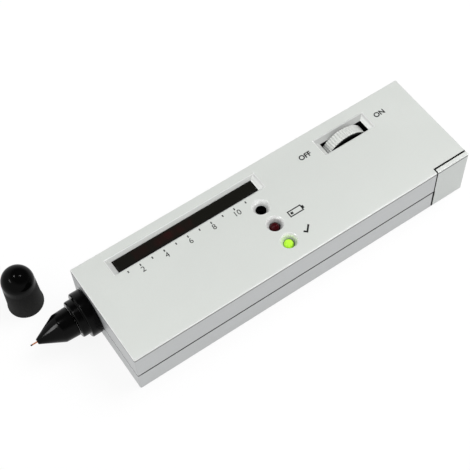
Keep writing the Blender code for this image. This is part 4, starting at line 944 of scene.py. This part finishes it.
CAP_LIP_RADIUS = 0.00644
CAP_LIP_HEIGHT = 0.0009
CAP_LIP_ROUND = 0.0003
CAP_BASE_RADIUS = 0.0062
CAP_SHOULDER_RADIUS = 0.0058
CAP_SHOULDER_HEIGHT = 0.0146
CAP_BORE = 0.00557
CAP_TOP_WALL = 0.0012
CAP_WALL = 0.00068
DOME_STEPS = 18


def make_cap():
    """A hollow cap with a domed top and a lip round its open end."""
    height = CAP_HIGH.z - CAP_LOW.z
    rise = height - CAP_SHOULDER_HEIGHT
    outside = domed(CAP_SHOULDER_RADIUS, CAP_SHOULDER_HEIGHT, rise, DOME_STEPS)
    lip = filleted([
        (CAP_BASE_RADIUS, CAP_LIP_HEIGHT, 0),
        (CAP_LIP_RADIUS, CAP_LIP_HEIGHT / 2, CAP_LIP_ROUND),
        (CAP_LIP_RADIUS, 0, 0),
        (CAP_BORE, 0, 0),
        (CAP_BORE, CAP_LIP_HEIGHT, 0),
    ])
    bore = domed(CAP_SHOULDER_RADIUS - CAP_WALL, CAP_SHOULDER_HEIGHT, rise - CAP_TOP_WALL,
                 DOME_STEPS)
    origin = (CAP_CENTRE.x, CAP_CENTRE.y, CAP_LOW.z)
    mesh = turned("cap", outside + lip + bore[::-1], origin, (0, 0, 1))
    add_piece("cap", mesh, [materials["vinyl"]], "loose_cap", "probe_cap")


# Thumbwheel

WHEEL_RADIUS = 0.0095
WHEEL_SPARE = 0.00015
WHEEL_CHAMFER = 0.00025
WHEEL_RIM = 0.0009
WHEEL_WEB_DEPTH = 0.0012
WHEEL_HUB = 0.0032
WHEEL_BORE = 0.0018
RIDGE_COUNT = 56
SMOOTH_RIDGES = 12
SMOOTH_START_DEGREES = 18.5
RIDGE_DEPTH = 0.00025
RIDGE_STEPS = 10
RIDGE_CREST_SHARE = 0.55


def ridge_depth(share):
    """How far the rim falls below its crest at a share of one ridge's pitch."""
    if share < RIDGE_CREST_SHARE:
        return 0
    fall = (share - RIDGE_CREST_SHARE) / (1 - RIDGE_CREST_SHARE)
    return RIDGE_DEPTH * math.sin(math.pi * fall)


def wheel_rim():
    """Angle and radius of each point round the rim, with a smooth stretch."""
    pitch = math.tau / RIDGE_COUNT
    start = math.radians(SMOOTH_START_DEGREES)
    rim = []
    for ridge in range(RIDGE_COUNT):
        for step in range(RIDGE_STEPS):
            share = step / RIDGE_STEPS
            depth = 0 if ridge < SMOOTH_RIDGES else ridge_depth(share)
            rim.append((start + pitch * (ridge + share), WHEEL_RADIUS - depth))
    return rim


def make_wheel():
    """The thumbwheel, with a ridged rim, a thin web and a bored hub."""
    half = (WHEEL_HIGH.y - WHEEL_LOW.y) / 2 + WHEEL_SPARE
    web = WHEEL_RADIUS - WHEEL_RIM
    tread = (
        (-half, WHEEL_CHAMFER),
        (-half + WHEEL_CHAMFER, 0),
        (half - WHEEL_CHAMFER, 0),
        (half, WHEEL_CHAMFER),
    )
    inner = (
        (half, web),
        (half - WHEEL_WEB_DEPTH, web),
        (half - WHEEL_WEB_DEPTH, WHEEL_HUB),
        (half, WHEEL_HUB),
        (half, WHEEL_BORE),
        (-half, WHEEL_BORE),
        (-half, WHEEL_HUB),
        (-half + WHEEL_WEB_DEPTH, WHEEL_HUB),
        (-half + WHEEL_WEB_DEPTH, web),
        (-half, web),
    )
    rings = []
    for angle, radius in wheel_rim():
        spots = [(y, radius - inset) for y, inset in tread] + list(inner)
        rings.append([WHEEL_CENTRE + Vector((reach * math.sin(angle), y,
                                             reach * math.cos(angle))) for y, reach in spots])
    add_piece("knurled_wheel", ring_mesh("knurled_wheel", rings), [materials["wheel"]],
              "switch_wheel", "thumbwheel")


# Lamps in the dishes

LENS_RADIUS = 0.00185
LENS_SKIRT = 0.0016
LENS_DOME_STEPS = 14


def make_lens(name, node, material):
    """A lens with a round top on a straight skirt, its top where the node's is."""
    centre = middle_of(node)
    rim_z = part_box(node)[1].z - LENS_RADIUS
    profile = domed(LENS_RADIUS, rim_z, LENS_RADIUS, LENS_DOME_STEPS)
    profile += [(LENS_RADIUS, rim_z - LENS_SKIRT), (0, rim_z - LENS_SKIRT)]
    mesh = turned(name, profile, (centre.x, centre.y, 0), (0, 0, 1), closed=False)
    add_piece(name, mesh, [material], "case", node)


def make_lenses():
    green = lens("green_lens", middle_of("ready_led"), READY_RIM, READY_CORE, READY_GLOW)
    red = lens("red_lens", middle_of("low_battery_led"), WARNING_RIM, WARNING_CORE)
    make_lens("lit_lens", "ready_led", green)
    make_lens("dark_lens", "low_battery_led", red)


# Printing on the top face

PRINT_THICK = 0.00002
PRINT_SCALE = 0.001
WORD_SIZE = 0.0028
WORD_WEIGHT = 0.00008
WORDS = (
    ("print_off", "OFF", (0.0194, 0.0113)),
    ("print_on", "ON", (0.0523, 0.0109)),
)
NUMBER_SIZE = 0.0030
NUMBER_BELOW_WINDOW = 0.0054
TICK_BELOW_WINDOW = 0.0020
TICK_LENGTH = 0.0009
TICK_WIDTH = 0.00042
NUMBER_EVERY = 2
SIGN_GAP = 0.0058
SIGN_LINE = 0.00042
SIGN_SPACE = 0.00042
BATTERY_SIGN = (0.0056, 0.0026)
BATTERY_NUB = (0.0006, 0.0012)
BATTERY_CHARGE_SHARE = 0.25
READY_TICK = ((0, 0.0011), (0.0005, 0.0016), (0.0012, 0.0009), (0.0030, 0.0029),
              (0.0035, 0.0024), (0.0012, 0))


def add_print(name, mesh, place):
    """A thin shape, drawn flat at the origin, laid on the top face."""
    mesh.transform(Matrix.Translation((*place, TOP_Z)))
    add_piece(name, mesh, [materials["print"]], "case")


def print_word(name, words, place, size, weight=0, centred=False):
    """Lettering, drawn larger by PRINT_SCALE because the fill of small curves fails."""
    curve = bpy.data.curves.new(name, "FONT")
    curve.body = words
    curve.size = size / PRINT_SCALE
    curve.offset = weight / PRINT_SCALE
    curve.extrude = PRINT_THICK / 2 / PRINT_SCALE
    if centred:
        curve.align_x = "CENTER"
    mesh = settled(put_in_scene(name + "_draft", curve))
    mesh.transform(Matrix.Diagonal((PRINT_SCALE, PRINT_SCALE, PRINT_SCALE, 1)))
    mesh.transform(Matrix.Translation((0, 0, PRINT_THICK / 2)))
    add_print(name, mesh, place)


def rectangle(low_x, low_y, high_x, high_y):
    return ((low_x, low_y), (high_x, low_y), (high_x, high_y), (low_x, high_y))


def print_sign(name, outlines, place):
    """Closed outlines, each printed as a filled shape."""
    mesh = bpy.data.meshes.new(name)
    form = bmesh.new()
    for outline in outlines:
        low = [form.verts.new((x, y, 0)) for x, y in outline]
        high = [form.verts.new((x, y, PRINT_THICK)) for x, y in outline]
        form.faces.new(low[::-1])
        form.faces.new(high)
        for index in range(len(outline)):
            form.faces.new((low[index - 1], low[index], high[index], high[index - 1]))
    form.to_mesh(mesh)
    form.free()
    add_print(name, mesh, place)


def make_scale():
    """A tick under each bar of the display but the last, and a number under every second."""
    low = WINDOW_LOW + Vector((WINDOW_FLANGE, WINDOW_FLANGE, 0))
    high = WINDOW_HIGH - Vector((WINDOW_FLANGE, WINDOW_FLANGE, 0))
    pitch = (high.x - low.x) / BAR_COUNT
    for number in range(1, BAR_COUNT):
        x = low.x + pitch * (number - BAR_MIDDLE_SHARE)
        half = TICK_WIDTH / 2
        top = low.y - TICK_BELOW_WINDOW
        print_sign(f"print_tick_{number}", [rectangle(-half, -TICK_LENGTH, half, 0)], (x, top))
        if number % NUMBER_EVERY == 0:
            print_word(f"print_number_{number}", str(number), (x, low.y - NUMBER_BELOW_WINDOW),
                       NUMBER_SIZE, centred=True)


def make_signs():
    """A nearly empty battery beside the dark lamp, and a check mark beside the lit one."""
    warning = middle_of("low_battery_led")
    ready = middle_of("ready_led")
    wide, high = BATTERY_SIGN
    line = SIGN_LINE
    inset = SIGN_LINE + SIGN_SPACE
    nub_wide, nub_high = BATTERY_NUB
    nub_low = (high - nub_high) / 2
    charge = (wide - 2 * inset) * BATTERY_CHARGE_SHARE
    print_sign("print_battery", [
        rectangle(0, 0, wide, line),
        rectangle(0, high - line, wide, high),
        rectangle(0, line, line, high - line),
        rectangle(wide - line, line, wide, high - line),
        rectangle(wide, nub_low, wide + nub_wide, nub_low + nub_high),
        rectangle(inset, inset, inset + charge, high - inset),
    ], (warning.x + SIGN_GAP, warning.y - high / 2))
    print_sign("print_check", [READY_TICK], (ready.x + SIGN_GAP, ready.y - high / 2))


def make_printing():
    for name, words, place in WORDS:
        print_word(name, words, place, WORD_SIZE, WORD_WEIGHT)
    make_scale()
    make_signs()


# Finishes of the nodes that show as they are


def dress_nodes():
    """Gives each node that no piece replaces its finish."""
    finishes = {
        "steel": ("case_screw_1", "case_screw_2", "case_screw_3", "case_screw_4",
                  "wheel_shaft", "wheel_screw", "switch_potentiometer",
                  "battery_positive_stud", "battery_negative_stud"),
        "black": ("probe_rear_plug",),
        "brass": ("tip_plunger",),
        "board": ("circuit_board",),
        "chip": ("driver_chip", "amplifier_chip", "trimmer", "battery_snap"),
        "buzzer": ("buzzer",),
        "jacket": ("battery",),
        "sleeve": ("capacitor_1", "capacitor_2"),
        "red_lead": ("battery_lead_red", "probe_lead_1"),
        "black_lead": ("battery_lead_black", "probe_lead_2", "switch_lead_1",
                       "switch_lead_2"),
        "bar_red": tuple(f"bar_led_{number:02d}" for number in range(1, BAR_COUNT + 1)),
    }
    for finish, nodes in finishes.items():
        for node in nodes:
            coat(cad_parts[node].data, [materials[finish]])


# Floor, light and camera


def white_to_view(tree, plain, seen):
    """The shader that lights the object, and the one that the camera and gloss see."""
    path = tree.nodes.new("ShaderNodeLightPath")
    sight = joined(tree, "MAXIMUM", path.outputs["Is Camera Ray"],
                   joined(tree, "MAXIMUM", path.outputs["Is Glossy Ray"],
                          path.outputs["Is Transmission Ray"]))
    return mixed_shader(tree, sight, plain, seen)


def floor_paper(name):
    """Grey to the light that falls on the object; seen, it is white with a faint shadow."""
    material = bpy.data.materials.new(name)
    material.use_nodes = True
    tree = material.node_tree
    tree.nodes.remove(tree.nodes["Principled BSDF"])
    plain = tree.nodes.new("ShaderNodeBsdfDiffuse")
    plain.inputs["Color"].default_value = opaque(FLOOR_GREY)
    paper = tree.nodes.new("ShaderNodeBsdfDiffuse")
    paper.inputs["Color"].default_value = opaque(FLOOR_WHITE)
    white = tree.nodes.new("ShaderNodeEmission")
    seen = mixed_shader(tree, FLOOR_SHADOW_SHARE, white.outputs["Emission"],
                        paper.outputs["BSDF"])
    result = white_to_view(tree, plain.outputs["BSDF"], seen)
    tree.links.new(result, tree.nodes["Material Output"].inputs["Surface"])
    return material


def make_floor():
    mesh = bpy.data.meshes.new("floor")
    corners = rectangle(-FLOOR_HALF, -FLOOR_HALF, FLOOR_HALF, FLOOR_HALF)
    mesh.from_pydata([(x, y, 0) for x, y in corners], [], [(0, 1, 2, 3)])
    mesh.materials.append(floor_paper("floor_white"))
    floor = put_in_scene("floor", mesh)


def make_sky():
    """Even light from all round, which gloss sees as pale low down and on the left."""
    world = bpy.data.worlds.new("studio")
    world.use_nodes = True
    tree = world.node_tree
    place = tree.nodes.new("ShaderNodeTexCoord")
    parts = tree.nodes.new("ShaderNodeSeparateXYZ")
    tree.links.new(place.outputs["Generated"], parts.inputs["Vector"])
    lean = joined(tree, "MULTIPLY", parts.outputs["X"], SKY_LEAN_SHARE)
    height = joined(tree, "ADD", parts.outputs["Z"], lean)
    share = spread(tree, height, 0, 1, SKY_BRIGHT_HEIGHT, SKY_DARK_HEIGHT)
    seen = tree.nodes.new("ShaderNodeBackground")
    tree.links.new(mixed_colour(tree, share, SKY_BRIGHT, SKY_DARK), seen.inputs["Color"])
    plain = tree.nodes["Background"]
    plain.inputs["Color"].default_value = opaque(SKY_FILL)
    plain.inputs["Strength"].default_value = 1
    result = white_to_view(tree, plain.outputs["Background"], seen.outputs["Background"])
    tree.links.new(result, tree.nodes["World Output"].inputs["Surface"])
    bpy.context.scene.world = world


def make_lamp(name, place, size, power, in_gloss=True, on_matt=True):
    """A lamp that aims at the case; it may be left out of reflections or off matt surfaces."""
    light = bpy.data.lights.new(name, "AREA")
    light.shape = "ELLIPSE"
    light.size, light.size_y = size
    light.energy = power
    lamp = put_in_scene(name, light)
    lamp.visible_glossy = in_gloss
    lamp.visible_diffuse = on_matt
    lamp.location = place
    lamp.rotation_euler = (Vector(place) - Vector(LAMP_AIM)).to_track_quat("Z", "Y").to_euler()


def make_camera():
    optics = bpy.data.cameras.new("camera")
    optics.lens = CAMERA_LENS
    optics.sensor_width = CAMERA_SENSOR
    optics.clip_start = CAMERA_NEAR
    optics.clip_end = CAMERA_FAR
    camera = put_in_scene("camera", optics)
    turn = Matrix((CAMERA_RIGHT, CAMERA_UP, CAMERA_BACK)).transposed()
    camera.matrix_world = Matrix.Translation(CAMERA_PLACE) @ turn.to_4x4()
    bpy.context.scene.camera = camera


materials = make_materials()
make_camera()
make_floor()
make_sky()
for lamp_values in LAMPS:
    make_lamp(**lamp_values)
make_case()
make_collar()
make_cone()
make_pin()
make_spring()
make_cap()
make_wheel()
make_lenses()
make_printing()
dress_nodes()

bpy.context.scene.view_settings.view_transform = "Standard"
